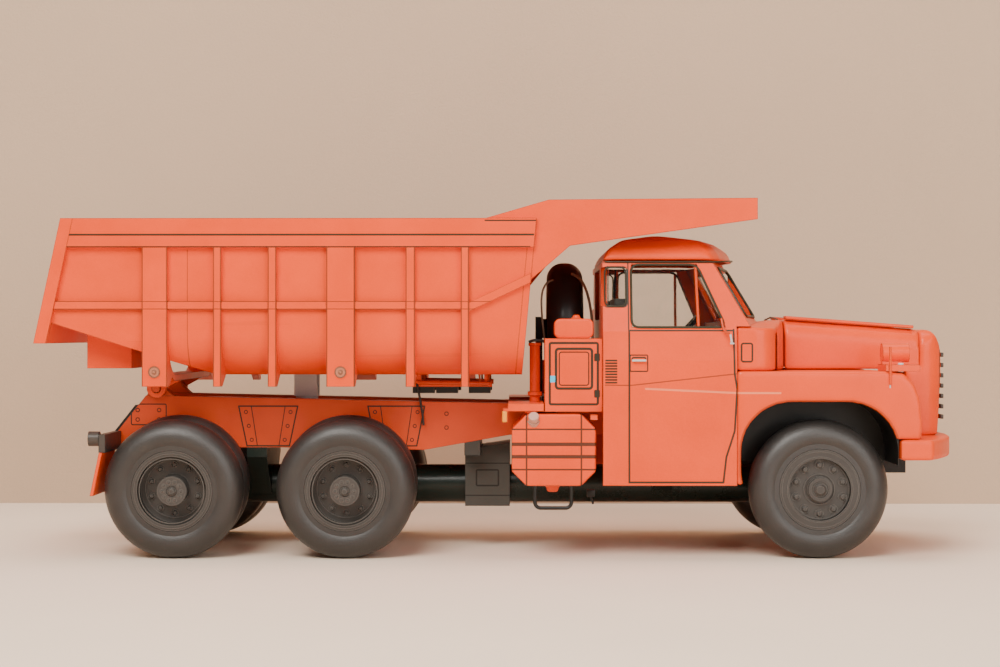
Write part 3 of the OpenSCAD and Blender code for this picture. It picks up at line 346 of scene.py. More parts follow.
def railMarks(card, x, y, z):
    side = abs(y) > railPrint["from"]
    low, top, inward = railPrint["low"], railPrint["top"], railPrint["rivetIn"]
    plates = Print(card, x, z)
    for left, right, inLeft, inRight in railPrint["plates"]:
        plates.path([(left, top), (inLeft, low), (inRight, low), (right, top), (left, top)], 0.36)
        plates.stroke((left + 3.2, top - 0.2), (inLeft + 2.6, low + 0.2), 0.24)
        plates.stroke((right - 3.2, top - 0.2), (inRight - 2.6, low + 0.2), 0.24)
        for share in railPrint["rivets"]:
            height = low + (top - low) * share
            plates.ring((inLeft + (left - inLeft) * share + inward, height), railPrint["rivetR"], 0.22)
            plates.ring((inRight + (right - inRight) * share - inward, height), railPrint["rivetR"], 0.22)
    plates.draw(railPrint["hinge"])
    for hole in railPrint["holes"]:
        plates.ring(hole, railPrint["holeR"], 0.24)
    return [(inks["line"], plates.mask * side)]


tankPrint = [
    ("level", 28.0, 1, 23, 0.85), ("level", 25.0, 1, 23, 0.85),  # straps
    ("level", 31.6, 1, 23, 0.4), ("level", 21.9, 1, 23, 0.4),  # seams
    ("upright", 5.6, 16, 36, 0.4), ("upright", 18.8, 16, 36, 0.4),  # ends
]


def tankMarks(card, x, y, z):
    return [(inks["line"], Print(card, x, z).draw(tankPrint).mask * 0.92)]


toolBoxPrint = {
    "from": 35.8,
    "door": [
        ("frame", 11.2, 22.8, 37.6, 52.4, 0.4, 0.55),  # lid's edge
        ("frame", 12.7, 21.4, 41.4, 51.0, 0.7, 0.6),  # panel
        ("frame", 13.5, 20.6, 42.2, 50.2, 0.6, 0.3),
        ("patch", 21.9, 23.3, 48.0, 49.9), ("patch", 21.9, 23.3, 39.2, 41.1),  # hinges
    ],
    "mark": [("patch", 11.3, 12.5, 42.9, 44.5, 0.1)], "markInk": (0.05, 0.46, 0.70),
}


def toolBoxMarks(card, x, y, z):
    front = abs(y) > toolBoxPrint["from"]
    door = Print(card, x, z).draw(toolBoxPrint["door"]).mask
    mark = Print(card, x, z).draw(toolBoxPrint["mark"]).mask
    return [(inks["line"], door * front), (toolBoxPrint["markInk"], mark * front)]


def scuttleMarks(card, x, y, z):
    lamp = Print(card, x, z).frame(57.4, 60.0, 47.9, 52.3, 0.5, 0.42).mask
    return [(inks["line"], lamp * (abs(y) > 25))]


def caseMarks(card, x, y, z):
    window = Print(card, x, z).frame(-7.1, -1.5, 15.9, 19.9, 0.3, 0.4)
    window.level(21.6, -10, 1.5, 0.3).level(13.4, -10, 1.5, 0.3)
    return [((0.012, 0.012, 0.01), window.mask)]


def noseMarks(card, x, y, z):
    grille = Print(card, y, z).frame(-14.5, 14.5, 32.2, 51.2, 1.5, 0.4).mask
    return [(inks["line"], grille * (x > 106))]


def fenderMarks(card, x, y, z):
    # the pale line along the fender's fold is a painted highlight
    foldHighlight = Print(card, x, z).stroke((56.0, 40.4), (66.5, 40.4), 0.5).mask
    lip = abs(Print(card, x, z).frameDistance(57.2, 94.8, 10, 38.1, 12) - 0.35) < 0.3
    return [(inks["paintedHighlight"], foldHighlight * (abs(y) > 37) * 0.6), (inks["edge"], lip * (z > 17) * 0.45)]


def rimMarks(card, x, y, z):
    dust = card.noise(card.node("CombineXYZ", {}, x, y, z), 1.6, 3.0, 0.7) > 0.68
    return [((0.12, 0.11, 0.10), dust * 0.35)]


orangeCard = cardStock("orangeCard", inks["orange"])
bedCard = cardStock("bedCard", inks["orange"], draw=bedMarks)
shellCard = cardStock("shellCard", inks["orange"], draw=shellMarks)
cabCard = cardStock("cabCard", inks["orange"], draw=cabMarks)
railCard = cardStock("railCard", inks["deepOrange"], draw=railMarks, mottle=0.8)
tankCard = cardStock("tankCard", inks["orange"], draw=tankMarks)
boxCard = cardStock("toolBoxCard", inks["orange"], draw=toolBoxMarks)
scuttleCard = cardStock("scuttleCard", inks["orange"], draw=scuttleMarks)
caseCard = cardStock("caseCard", (0.05, 0.047, 0.04), (0.01, 0.01, 0.01), draw=caseMarks)
tubeCard = cardStock("tubeCard", (0.010, 0.017, 0.013), (0.03, 0.03, 0.028), 0.3, mottle=0.6)
blackCard = cardStock("blackCard", (0.012, 0.0115, 0.0105), (0.05, 0.045, 0.04), 0.38)
darkCard = cardStock("darkCard", (0.060, 0.050, 0.042), (0.02, 0.018, 0.015), 0.5)
silverCard = cardStock("silverCard", (0.50, 0.50, 0.49), (0.12, 0.12, 0.12), 0.35, edges=False)


def tyrePaper():
    # matt rolled paper: brushed round the tyre, rubbed paler in patches
    paper = Finish("tyrePaper", **{"Coat Weight": 0.12, "Coat Roughness": 0.3})
    spot, x, y, z = paper.place()
    cloud = paper.noise(spot, 0.16, 4.0, 0.65)
    grain = paper.noise(spot, 2.6, 3.0, 0.7)
    rubbed = (cloud * 0.7 + grain * 0.5 - 0.1).most(0.0).least(1.0)
    colour = paper.blend(rubbed, (0.008, 0.007, 0.0065), (0.036, 0.031, 0.028))
    return paper.finish(colour, (grain - 0.5) * 0.3 + 0.46, grain * 0.6 + cloud, 0.4, 0.0003)


def windowFilm():
    film = Finish("windowFilm", **{"Transmission Weight": 1.0, "IOR": 1.18, "Roughness": 0.04, "Coat Weight": 0.35})
    spot, x, y, z = film.place()
    haze = film.noise(spot, 0.2, 3.0)
    return film.finish(film.blend(haze, (0.90, 0.93, 0.92), (0.98, 0.99, 0.99)), haze * 0.10, haze, 0.15, 0.0002)


tyreStock, film = tyrePaper(), windowFilm()
rimCard = cardStock("rimCard", (0.048, 0.043, 0.039), (0.11, 0.10, 0.09), 0.4, draw=rimMarks, mottle=0.9)
rubberCard = cardStock("rubberCard", (0.030, 0.026, 0.012), (0.02, 0.018, 0.012), 0.45, mottle=1.6, edges=False)
noseCard = cardStock("noseCard", inks["orange"], draw=noseMarks)
fenderCard = cardStock("fenderCard", inks["orange"], draw=fenderMarks)
capCard = cardStock("capCard", (0.52, 0.28, 0.21), (0.30, 0.15, 0.10), 0.35)
boltCard = cardStock("boltCard", (0.42, 0.16, 0.09), inks["line"], 0.35)
amberCard = cardStock("amberCard", (0.80, 0.28, 0.02), (0.30, 0.08, 0.01), 0.2, mottle=0.8)
pipeCard = cardStock("pipeCard", (0.16, 0.10, 0.06), (0.05, 0.03, 0.02), 0.4, edges=False)
cadLooks = {
    "frame_rails": railCard, "bed_hinge": railCard, "backbone_tube": tubeCard, "transfer_case": caseCard,
    "front_half_axles": tubeCard, "rear_half_axles": tubeCard, "cab_shell": cabCard, "windscreen": film,
    "side_windows": film, "seats": darkCard, "dashboard": darkCard, "steering_wheel": blackCard,
    "scuttle": scuttleCard, "arch_liners": blackCard, "tow_block": blackCard, "fuel_tank": tankCard,
    "tank_step": blackCard, "tool_box": boxCard, "spare_tyre": blackCard, "spare_carrier": blackCard,
    "battery_box": boxCard, "rest_pads": blackCard, "tail_plate": blackCard, "rear_lamps": darkCard,
    "bed_shell": shellCard, "bed_rims": bedCard, "bed_ribs": bedCard,
}


def dressNode(name):
    piece = nodes[name]
    if "tyre" in name and name != "spare_tyre":
        look = tyreStock
    elif name.startswith("ram_"):
        look = silverCard
    elif name.endswith("_rim"):
        look = rimCard
    else:
        look = cadLooks.get(name, orangeCard)
    piece.data.materials.clear()
    piece.data.materials.append(look)


for name in nodes:
    dressNode(name)
print("card, tyre and film finishes made")


# working as by hand: clear the selection, add a primitive, shape it, settle it on its body
def pickNothing():
    if bpy.context.object and bpy.context.object.mode != "OBJECT":
        bpy.ops.object.mode_set(mode="OBJECT")
    bpy.ops.object.select_all(action="DESELECT")


def pickOnly(piece):
    pickNothing()
    piece.select_set(True)
    bpy.context.view_layer.objects.active = piece


def pickFaces(piece, wanted):
    # select in edit mode the faces for which wanted(centre in mm, normal) is true
    bpy.ops.object.mode_set(mode="EDIT")
    bpy.ops.mesh.select_mode(type="FACE")
    bpy.ops.mesh.select_all(action="DESELECT")
    bpy.ops.object.mode_set(mode="OBJECT")
    for face in piece.data.polygons:
        spot = (piece.matrix_world @ face.center) / mm
        face.select = bool(wanted(spot, face.normal))
    bpy.ops.object.mode_set(mode="EDIT")


def finishModifier(piece, kind, **settings):
    pickOnly(piece)
    modifier = piece.modifiers.new(kind.lower(), kind)
    for key, value in settings.items():
        setattr(modifier, key, value)
    bpy.ops.object.modifier_apply(modifier=modifier.name)


def settle(piece, name, body, look, slotName, replaced=(), bevel=0.0, smooth=35):
    pickOnly(piece)
    bpy.ops.object.transform_apply(location=True, rotation=True, scale=True)
    if bevel:
        finishModifier(piece, "BEVEL", width=bevel * mm, segments=2, limit_method="ANGLE",
                       angle_limit=math.radians(32))
    pickOnly(piece)
    bpy.ops.object.shade_smooth_by_angle(angle=math.radians(smooth))
    piece.name = piece.data.name = name
    piece.data.materials.clear()
    piece.data.materials.append(look)
    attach(piece, body)
    if replaced:
        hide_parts(*replaced)
    return piece


def block(low, high, inset=0.0, drop=0.0):
    # a box between two corners in mm, its top face drawn in and sunk when asked
    pickNothing()
    middle = [(a + b) / 2 * mm for a, b in zip(low, high)]
    bpy.ops.mesh.primitive_cube_add(size=1, location=middle)
    piece = bpy.context.object
    piece.scale = [abs(b - a) * mm for a, b in zip(low, high)]
    bpy.ops.object.transform_apply(location=True, rotation=True, scale=True)
    if inset:
        outward = -1 if middle[1] < 0 else 1
        pickFaces(piece, lambda spot, normal: normal.y * outward > 0.9)
        bpy.ops.mesh.inset(thickness=inset * mm, depth=-drop * mm)
        bpy.ops.object.mode_set(mode="OBJECT")
    return piece


def rod(start, end, radius, sides=20, ends=0.0):
    # a round bar between two points in mm, its ends rounded off
    start, end = Vector(start), Vector(end)
    pickNothing()
    bpy.ops.mesh.primitive_cylinder_add(vertices=sides, radius=radius * mm, depth=(end - start).length * mm,
                                        location=(start + end) / 2 * mm)
    piece = bpy.context.object
    piece.rotation_euler = (end - start).to_track_quat("Z", "Y").to_euler()
    bpy.ops.object.transform_apply(location=True, rotation=True, scale=True)
    if ends:
        finishModifier(piece, "BEVEL", width=ends * mm, segments=3, limit_method="ANGLE",
                       angle_limit=math.radians(40))
    return piece


def bentWire(points, radius, closed=False, corner=0.0):
    # a wire along the points in mm, its corners rounded
    spots = [Vector(p) for p in points]
    if corner:
        spots = rounded(spots, corner, closed)
    line = bpy.data.curves.new("wire", "CURVE")
    line.dimensions = "3D"
    line.bevel_depth = radius * mm
    line.bevel_resolution = 3
    line.use_fill_caps = True
    spline = line.splines.new("POLY")
    spline.points.add(len(spots) - 1)
    for point, spot in zip(spline.points, spots):
        point.co = (*(spot * mm), 1)
    spline.use_cyclic_u = closed
    piece = bpy.data.objects.new("wire", line)
    bpy.context.collection.objects.link(piece)
    pickOnly(piece)
    bpy.ops.object.convert(target="MESH")
    return bpy.context.object


def rounded(spots, reach, closed, steps=6):
    result = []
    count = len(spots)
    for index, spot in enumerate(spots):
        if not closed and index in (0, count - 1):
            result.append(spot)
            continue
        before, after = spots[index - 1] - spot, spots[(index + 1) % count] - spot
        start = spot + before.normalized() * min(reach, before.length * 0.48)
        end = spot + after.normalized() * min(reach, after.length * 0.48)
        for step in range(steps + 1):
            share = step / steps
            result.append(start.lerp(spot, share).lerp(spot.lerp(end, share), share))
    return result


def joined(pieces):
    pickNothing()
    for piece in pieces:
        piece.select_set(True)
    bpy.context.view_layer.objects.active = pieces[0]
    bpy.ops.object.join()
    return bpy.context.object


def copied(piece, matrix):
    twin = piece.copy()
    twin.data = piece.data.copy()
    twin.data.transform(matrix)
    bpy.context.collection.objects.link(twin)
    return twin


def opposite(piece):
    # the same piece for the other side of the truck
    twin = copied(piece, Matrix.Diagonal((1, -1, 1, 1)))
    pickOnly(twin)
    bpy.ops.object.mode_set(mode="EDIT")
    bpy.ops.mesh.select_all(action="SELECT")
    bpy.ops.mesh.normals_make_consistent(inside=False)
    bpy.ops.object.mode_set(mode="OBJECT")
    return twin


def bothSides(piece, name, look, slotName, body="chassis", **shaping):
    twin = opposite(piece)
    settle(piece, name + "Right", body, look, slotName, **shaping)
    settle(twin, name + "Left", body, look, slotName, **shaping)


def remove(piece):
    bpy.data.objects.remove(piece, do_unlink=True)


# pressed sheets: the flat-sided frame shape, drawn over a fine net and smoothed as bent card is
sheets = {
    "cab_roof": {"net": 0.55, "passes": 26, "look": "orange"},
    "scuttle": {"net": 0.5, "passes": 9, "look": "scuttle"},
    "bonnet": {"net": 0.5, "passes": 12, "look": "bonnet"},
    "nose_panel": {"net": 0.6, "passes": 8, "look": "nose"},
    "front_fenders": {"net": 0.5, "passes": 7, "look": "fender"},
    "front_bumper": {"net": 0.6, "passes": 3, "look": "orange"},
    "fuel_tank": {"net": 0.5, "passes": 3, "look": "tank"},
    "canister": {"net": 0.35, "passes": 3, "look": "orange"},
}
sheetCards = {"orange": orangeCard, "scuttle": scuttleCard, "bonnet": orangeCard, "nose": noseCard,
              "fender": fenderCard, "tank": tankCard}


def pressSheet(node, net, passes, look):
    source = nodes[node]
    piece = copied(source, Matrix.Identity(4))
    piece.parent = None
    pickOnly(piece)
    bpy.ops.object.mode_set(mode="EDIT")
    bpy.ops.mesh.select_all(action="SELECT")
    bpy.ops.mesh.remove_doubles(threshold=0.00001)
    bpy.ops.object.mode_set(mode="OBJECT")
    finishModifier(piece, "REMESH", mode="VOXEL", voxel_size=net * mm)
    finishModifier(piece, "SMOOTH", factor=0.5, iterations=passes)
    return settle(piece, node + "_sheet", "chassis", sheetCards[look], "orange_card", (node,), smooth=60)


for node, values in sheets.items():
    pressSheet(node, **values)
print("roof, scuttle, bonnet, nose and fenders pressed")


# hubs, modelled facing +Y round the origin and set on each wheel
hubs = {
    "front": {"face": 2.3, "studs": 10, "studRing": 5.9, "padR": 1.15, "studR": 0.62, "studH": 0.75,
              "capBase": 3.9, "capR": 1.8, "capH": 0.55, "collarR": 2.75, "ringR": 9.2, "ringFace": 4.2},
    "rear": {"face": -0.6, "studs": 10, "studRing": 5.9, "padR": 0.85, "studR": 0.5, "studH": 0.6,
             "capBase": 4.0, "capR": 1.15, "capH": 0.6, "collarR": 3.45, "ringR": 9.1, "ringFace": 4.2},
}


def stud(radius, pad, height, base):
    # a round pad with a sunk rim and a domed nut on it
    pickNothing()
    bpy.ops.mesh.primitive_cylinder_add(vertices=20, radius=pad * mm, depth=0.3 * mm,
                                        location=(0, (base + 0.1) * mm, 0), rotation=(math.radians(-90), 0, 0))
    piece = bpy.context.object
    bpy.ops.object.transform_apply(location=True, rotation=True, scale=True)
    pickFaces(piece, lambda spot, normal: normal.y > 0.9)
    bpy.ops.mesh.inset(thickness=0.16 * mm)
    bpy.ops.mesh.inset(thickness=0.05 * mm, depth=-0.16 * mm)
    bpy.ops.mesh.inset(thickness=max(0.04, pad - 0.21 - radius) * mm)
    bpy.ops.mesh.extrude_region_move(TRANSFORM_OT_translate={"value": (0, height * mm, 0)})
    bpy.ops.mesh.inset(thickness=radius * 0.35 * mm, depth=radius * 0.3 * mm)
    bpy.ops.object.mode_set(mode="OBJECT")
    return piece


def washer(inner, outer, low, high, sides=48):
    # a flat ring round the wheel's axis, spun from its section
    pickNothing()
    bpy.ops.mesh.primitive_plane_add(size=1, location=((inner + outer) / 2 * mm, (low + high) / 2 * mm, 0))
    piece = bpy.context.object
    piece.scale = ((outer - inner) * mm, (high - low) * mm, 1)
    bpy.ops.object.transform_apply(location=True, rotation=True, scale=True)
    bpy.ops.object.mode_set(mode="EDIT")
    bpy.ops.mesh.select_all(action="SELECT")
    bpy.ops.mesh.delete(type="ONLY_FACE")
    bpy.ops.mesh.select_all(action="SELECT")
    bpy.ops.mesh.spin(steps=sides, angle=math.radians(360), center=(0, 0, 0), axis=(0, 1, 0))
    bpy.ops.mesh.select_all(action="SELECT")
    bpy.ops.mesh.remove_doubles(threshold=0.00001)
    bpy.ops.mesh.normals_make_consistent(inside=False)
    bpy.ops.object.mode_set(mode="OBJECT")
    return piece


def makeHub(kind):
    look = hubs[kind]
    base = stud(look["studR"], look["padR"], look["studH"], look["face"])
    parts = []
    for index in range(look["studs"]):
        turn = Matrix.Rotation(math.radians(360 / look["studs"] * (index + 0.5)), 4, "Y")
        parts.append(copied(base, turn @ Matrix.Translation((look["studRing"] * mm, 0, 0))))
    remove(base)
    cap = stud(look["capR"] * 0.8, look["capR"], look["capH"], look["capBase"])
    parts.append(cap)
    parts.append(washer(look["capR"] + 0.25, look["collarR"], look["capBase"] - 0.2, look["capBase"] + 0.28))
    parts.append(washer(look["ringR"] - 0.12, look["ringR"] + 0.12, look["ringFace"] - 0.1, look["ringFace"] + 0.14))
    parts.append(washer(look["ringR"] - 1.35, look["ringR"] - 1.15, look["ringFace"] - 0.1, look["ringFace"] + 0.12))
    if kind == "rear":
        small = stud(0.3, 0.48, 0.3, look["capBase"] + 0.1)
        for index in range(10):
            turn = Matrix.Rotation(math.radians(36 * index), 4, "Y")
            parts.append(copied(small, turn @ Matrix.Translation((2.3 * mm, 0, 0))))
        remove(small)
        parts.append(washer(7.0, 7.25, look["face"] - 0.1, look["face"] + 0.3))
    else:
        parts.append(washer(7.0, 7.35, look["face"] - 0.1, look["face"] + 0.35))
        parts.append(washer(3.6, 3.85, look["face"] - 0.1, look["face"] + 0.3))
    return joined(parts)


lean = math.radians(4)
wheelPlaces = {  # x, y and z of the wheel in mm, and how far it leans
    "front": (76.6, 30.3, 16.9, 0.0),
    "middle": (-38.3, 32.7, 16.904, lean),
    "rear": (-80.1, 32.7, 16.904, lean),
}
for kind, axles in (("front", ("front",)), ("rear", ("middle", "rear"))):
    hub = makeHub(kind)
    for axle in axles:
        x, y, z, tilt = wheelPlaces[axle]
        for side, sign in (("left", 1), ("right", -1)):
            turn = Matrix.Rotation(-tilt * sign, 4, "X")
            if sign < 0:
                turn = turn @ Matrix.Rotation(math.pi, 4, "Z")
            placed = copied(hub, Matrix.Translation((x * mm, y * sign * mm, z * mm)) @ turn)
            settle(placed, axle + side.capitalize() + "Hub", axle + "_" + side + "_wheel", rimCard, "rim_card")
    remove(hub)
print("hubs set on six wheels")


# cab details: window rubbers, vent bars, handles and mirror brackets
cabParts = {"rubber": 0.3, "cornerRubber": 0.2, "screenRubber": 0.38, "ventBar": 0.38,
            "lean": 0.271, "belt": 55.2, "beltY": 38.0}
doorEdge = {"rear": 30.9, "front": 46.9, "foot": 53.6, "low": 56.2, "top": 71.4}
cornerEdge = {"rear": 24.5, "front": 29.6, "low": 61.3, "top": 70.8}
screenEdge = {"foot": (65.2, 0, 57.7), "sweep": 10, "lean": 31,
              "inner": 1.0, "outerLow": 33.3, "outerTop": 29.2, "low": 1.3, "top": 15.2}


def onSide(x, z, out=0.0):
    # a point on the cab's leaning right side above the belt
    return (x, -(cabParts["beltY"] - 0.8 - max(0.0, z - cabParts["belt"]) * cabParts["lean"] + out), z)


doorCorners = ((doorEdge["rear"], doorEdge["low"]), (doorEdge["rear"], doorEdge["top"]),
               (doorEdge["front"], doorEdge["top"]), (doorEdge["foot"], doorEdge["low"]))
cornerCorners = ((cornerEdge["rear"], cornerEdge["low"]), (cornerEdge["rear"], cornerEdge["top"]),
                 (cornerEdge["front"], cornerEdge["top"]), (cornerEdge["front"], cornerEdge["low"]))
doorRubber = bentWire([onSide(x, z, 0.05) for x, z in doorCorners], cabParts["rubber"], True, 2.0)
cornerRubber = bentWire([onSide(x, z, 0.05) for x, z in cornerCorners], cabParts["cornerRubber"], True, 1.6)
ventBar = bentWire([onSide(47.0, 56.2, -0.1), onSide(46.6, 71.0, -0.1)], cabParts["ventBar"])
bothSides(doorRubber, "doorRubber", rubberCard, "dark_card")
bothSides(cornerRubber, "cornerRubber", rubberCard, "dark_card")
bothSides(ventBar, "ventBar", orangeCard, "dark_card")

screenTurn = (Matrix.Translation(screenEdge["foot"])
              @ Matrix.Rotation(math.radians(-screenEdge["sweep"]), 4, "Z")
              @ Matrix.Rotation(math.radians(-screenEdge["lean"]), 4, "Y"))
screenCorners = ((screenEdge["inner"], screenEdge["low"]), (screenEdge["outerLow"], screenEdge["low"]),
                 (screenEdge["outerTop"], screenEdge["top"]), (screenEdge["inner"], screenEdge["top"]))
screenRubber = bentWire([tuple(screenTurn @ Vector((0.1, -y, z))) for y, z in screenCorners],
                        cabParts["screenRubber"], True, 2.2)
bothSides(screenRubber, "screenRubber", rubberCard, "dark_card")

handle = {"y": -38.75, "foot": -37.9, "z": 48.2, "rear": 30.9, "front": 34.3, "inset": 0.4, "bar": 0.26, "leg": 0.24}


def doorHandle():
    y, z = handle["y"], handle["z"]
    parts = [rod((handle["rear"], y, z), (handle["front"], y, z), handle["bar"], 14, 0.1)]
    for x in (handle["rear"] + handle["inset"], handle["front"] - handle["inset"]):
        parts.append(rod((x, handle["foot"], z), (x, y + 0.05, z), handle["leg"], 12))
    return joined(parts)


bothSides(doorHandle(), "doorHandle", silverCard, "silver_card")

mirror = {  # the strap's bends in mm, then the steel hinge under it
    "strap": [(52.4, -37.5, 58.3), (52.8, -38.3, 56.0), (53.4, -38.6, 54.9), (54.4, -38.6, 54.8)], "strapR": 0.3,
    "hinge": ((54.5, -38.75, 54.5), (54.9, -38.75, 52.1)), "hingeR": 0.26,
    "pin": ((54.4, -38.7, 52.3), (55.4, -38.7, 52.3)), "pinR": 0.2,
}
mirrorStrap = bentWire(mirror["strap"], mirror["strapR"], False, 0.8)
mirrorHinge = joined([rod(*mirror["hinge"], mirror["hingeR"], 14, 0.08), rod(*mirror["pin"], mirror["pinR"], 12)])
bothSides(mirrorStrap, "mirrorStrap", orangeCard, "orange_card")
bothSides(mirrorHinge, "mirrorHinge", silverCard, "silver_card")

gutterHalf = [(24.2, 32.85, 72.1), (52.6, 32.85, 72.1), (55.0, 28.6, 72.4), (57.9, 10, 73.0)]  # rear to front
gutterPath = [(x, -y, z) for x, y, z in gutterHalf] + [(58.4, 0, 73.1)] + gutterHalf[::-1]
gutter = bentWire(gutterPath, 0.2, True, 1.6)
settle(gutter, "roofGutter", "chassis", rubberCard, "dark_card")
print("cab details made")


# bonnet strips and seam, headlamp stalks and the grille
bonnetParts = {"strip": (70.6, 102.8, 11.4, 15.6), "topRear": 58.55, "topFront": 56.15}


def bonnetStrip():
    rear, front, inner, outer = bonnetParts["strip"]
    piece = block((rear, -outer, 0), (front, -inner, 0.8))
    for corner in piece.data.vertices:
        share = (corner.co.x / mm - rear) / (front - rear)
        corner.co.z += (bonnetParts["topRear"] * (1 - share) + bonnetParts["topFront"] * share - 0.2) * mm
    return piece


bothSides(bonnetStrip(), "bonnetStrip", orangeCard, "orange_card", bevel=0.2)
seamHalf = [(68.9, 17.3, 46.0), (68.9, 17.3, 55.0), (68.9, 14.5, 58.2)]  # sill to crown
seamPath = [(x, -y, z) for x, y, z in seamHalf] + [(68.9, 0, 58.9)] + seamHalf[::-1]
settle(bentWire(seamPath, 0.22, False, 2.5), "bonnetSeam", "chassis", rubberCard, "dark_card")
lampStalk = {"stalk": ((92.8, -38.4, 47.4), (92.8, -38.4, 41.6)), "stalkR": 0.2,
             "stem": ((95.6, -36.9, 47.6), (95.6, -36.9, 45.4)), "stemR": 0.7}
stalk = joined([rod(*lampStalk["stalk"], lampStalk["stalkR"], 12),
                rod(*lampStalk["stem"], lampStalk["stemR"], 16, 0.15)])
bothSides(stalk, "lampStalk", silverCard, "silver_card")

grille = {"low": 33.2, "pitch": 2.6, "count": 7, "back": 110.0, "front": 110.75, "half": 13.5, "thick": 1.1}
slats = []
for index in range(grille["count"]):
    height = grille["low"] + index * grille["pitch"]
    slats.append(block((grille["back"], -grille["half"], height),
                       (grille["front"], grille["half"], height + grille["thick"])))
settle(joined(slats), "grilleSlats", "chassis", darkCard, "dark_card", bevel=0.15)
print("bonnet details made")


# tank cap, lamps, drain and the pipes behind the cab
tankParts = {
    "cap": ((7.3, -36.4, 33.6), (7.3, -38.0, 34.9)), "capR": 1.3,
    "neck": ((7.3, -36.0, 33.2), (7.3, -36.8, 33.9)), "neckR": 1.55,
    "amber": ((-0.3, -37.6, 33.3), (0.9, -36.2, 36.0)), "latch": ((20.9, -38.3, 33.9), (22.7, -36.6, 35.2)),
    "lever": ((21.2, -27.0, 15.2), (22.0, -27.3, 12.8)), "leverR": 0.28,
    "valve": ((20.4, -27.6, 14.6), (22.4, -26.4, 16.4)),
}
cap = joined([rod(*tankParts["cap"], tankParts["capR"], 28, 0.25), rod(*tankParts["neck"], tankParts["neckR"], 28)])
settle(cap, "tankCap", "chassis", capCard, "grey_card")
settle(block(*tankParts["amber"], 0.2, -0.15), "sideLamp", "chassis", amberCard, "orange_card", bevel=0.25)
settle(block(*tankParts["latch"], 0.2, 0.15), "tankLatch", "chassis", orangeCard, "orange_card", bevel=0.15)
lever = joined([rod(*tankParts["lever"], tankParts["leverR"], 12, 0.08), block(*tankParts["valve"])])
settle(lever, "valveLever", "chassis", blackCard, "black_card", bevel=0.1)

pipe = {  # the standpipe's collars and arm, then the two air pipes beside the spare wheel
    "x": 7.7, "y": -21.0, "lowCollar": (39.2, 40.2, 1.7), "topCollar": (51.6, 52.4, 1.6),
    "arm": [(6.2, -0.6, 52.6), (7.7, -0.8, 53.1), (10.2, -0.6, 52.8), (11.2, 0.6, 50.5)], "armR": 0.38,
    "short": [(10.6, -14, 50), (9.6, -14, 58), (9.3, -13.8, 64.5), (10.6, -13, 67.6), (12.4, -12, 68.2)],
    "shortR": 0.26,
    "arch": [(17.0, -12.5, 69.8), (19.4, -13.6, 68.6), (21.2, -14.2, 64.5), (22.2, -14.4, 58.5), (22.3, -14.4, 50)],
    "archR": 0.34,
}


def pipeCollar(low, top, radius, ends):
    return rod((pipe["x"], 0.0, low), (pipe["x"], 0.0, top), radius, 28, ends)


collar = joined([pipeCollar(*pipe["lowCollar"], 0.15), pipeCollar(*pipe["topCollar"], 0.12)])
for corner in collar.data.vertices:
    corner.co.y += pipe["y"] * mm
settle(collar, "pipeCollars", "chassis", orangeCard, "orange_card")
arm = bentWire([(x, pipe["y"] + y, z) for x, y, z in pipe["arm"]], pipe["armR"], False, 0.8)
settle(arm, "pipeArm", "chassis", blackCard, "black_card")
hoses = joined([bentWire(pipe["short"], pipe["shortR"], False, 3.0),
                bentWire(pipe["arch"], pipe["archR"], False, 4.0)])
settle(hoses, "airPipes", "chassis", pipeCard, "dark_card")
print("tank, lamp and pipe details made")


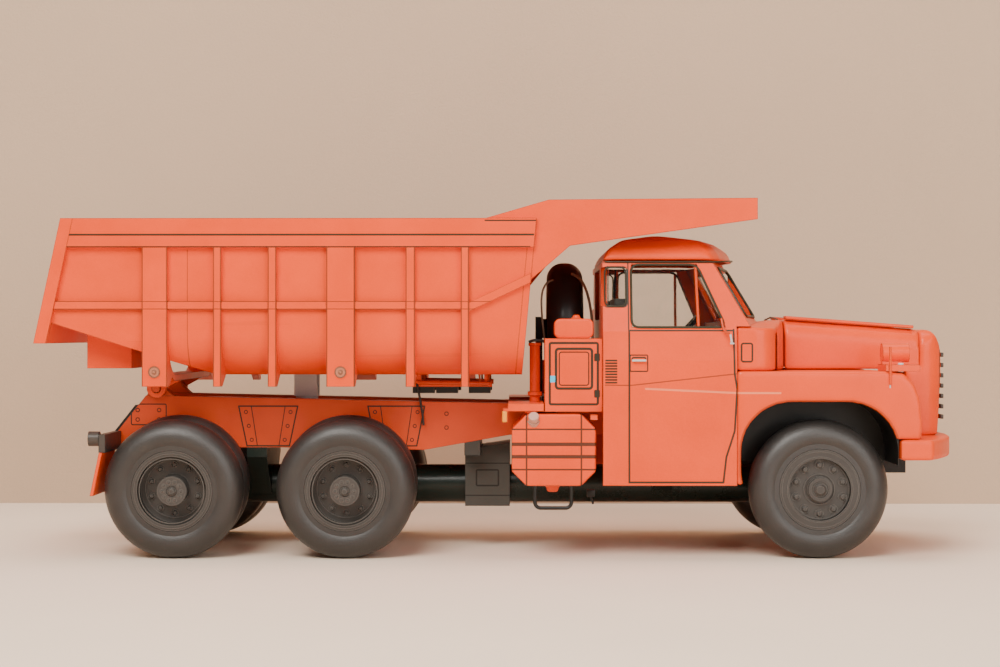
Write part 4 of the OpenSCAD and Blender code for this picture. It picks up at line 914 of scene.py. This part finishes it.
# the rack's tube, hangers and stay under the bed
rackParts = {
    "tube": ((-23.0, -16.1, 42.4), (-3.4, -16.1, 42.1)), "tubeR": 0.55,
    "hanger": [(-6.2, -15.9, 44.6), (-6.0, -16.1, 41.9), (-4.0, -16.1, 41.7), (-3.8, -15.9, 44.6)], "hangerR": 0.26,
    "stay": [(-21.9, -16.3, 42.4), (-21.3, -16.5, 39.4), (-20.4, -16.4, 34.0), (-20.2, -16.3, 31.6)], "stayR": 0.3,
}
rack = joined([rod(*rackParts["tube"], rackParts["tubeR"], 16, 0.15),
               bentWire(rackParts["hanger"], rackParts["hangerR"], False, 0.5)])
bothSides(rack, "rackTube", railCard, "frame_card", "bed")
settle(bentWire(rackParts["stay"], rackParts["stayR"], False, 1.0), "bedStay", "chassis", blackCard, "black_card")

ribBolt = {"nut": 0.5, "pad": 1.45, "height": 0.25, "y": 38.15, "places": ((-84.1, 45.4), (-39.2, 45.4))}
bolt = stud(ribBolt["nut"], ribBolt["pad"], ribBolt["height"], 0.0)
bolts = []
for x, z in ribBolt["places"]:
    for sign in (1, -1):
        turn = Matrix.Identity(4) if sign > 0 else Matrix.Rotation(math.pi, 4, "Z")
        bolts.append(copied(bolt, Matrix.Translation((x * mm, ribBolt["y"] * sign * mm, z * mm)) @ turn))
remove(bolt)
settle(joined(bolts), "ribBolts", "bed", boltCard, "orange_card")
print("bed details made")


def layCloth(name, lookName, place, turn, colour):
    pickNothing()
    bpy.ops.mesh.primitive_plane_add(size=floorLook["size"], location=place, rotation=turn)
    cloth = bpy.context.object
    cloth.name = name
    bpy.ops.object.transform_apply(location=True, rotation=True, scale=True)
    cloth.data.materials.append(clothLook(lookName, colour))
    return cloth


def placeFloor():
    # a cloth on the table that rises behind the truck; its upright part gets a darker colour, painted shade
    back, half = floorLook["back"] * mm, floorLook["size"] / 2
    floor = layCloth("floor", "floorCloth", (0, back - half, 0), (0, 0, 0), floorLook["colour"])
    wall = layCloth("shadedBackCloth", "shadedBackCloth", (0, back, half), (math.radians(90), 0, 0), floorLook["wall"])


def clothLook(name, ink):
    cloth = Finish(name)
    spot, x, y, z = cloth.place()
    nap = cloth.noise(spot, 1.1, 4.0, 0.75)
    cloud = cloth.noise(spot, 0.02, 3.0)
    dark = tuple(c * 0.90 for c in ink)
    colour = cloth.blend((cloud * 0.7 + nap * 0.5 - 0.1).most(0.0).least(1.0), dark, ink)
    return cloth.finish(colour, nap * 0.04 + 0.9, nap, 0.35, 0.0004)


placeFloor()
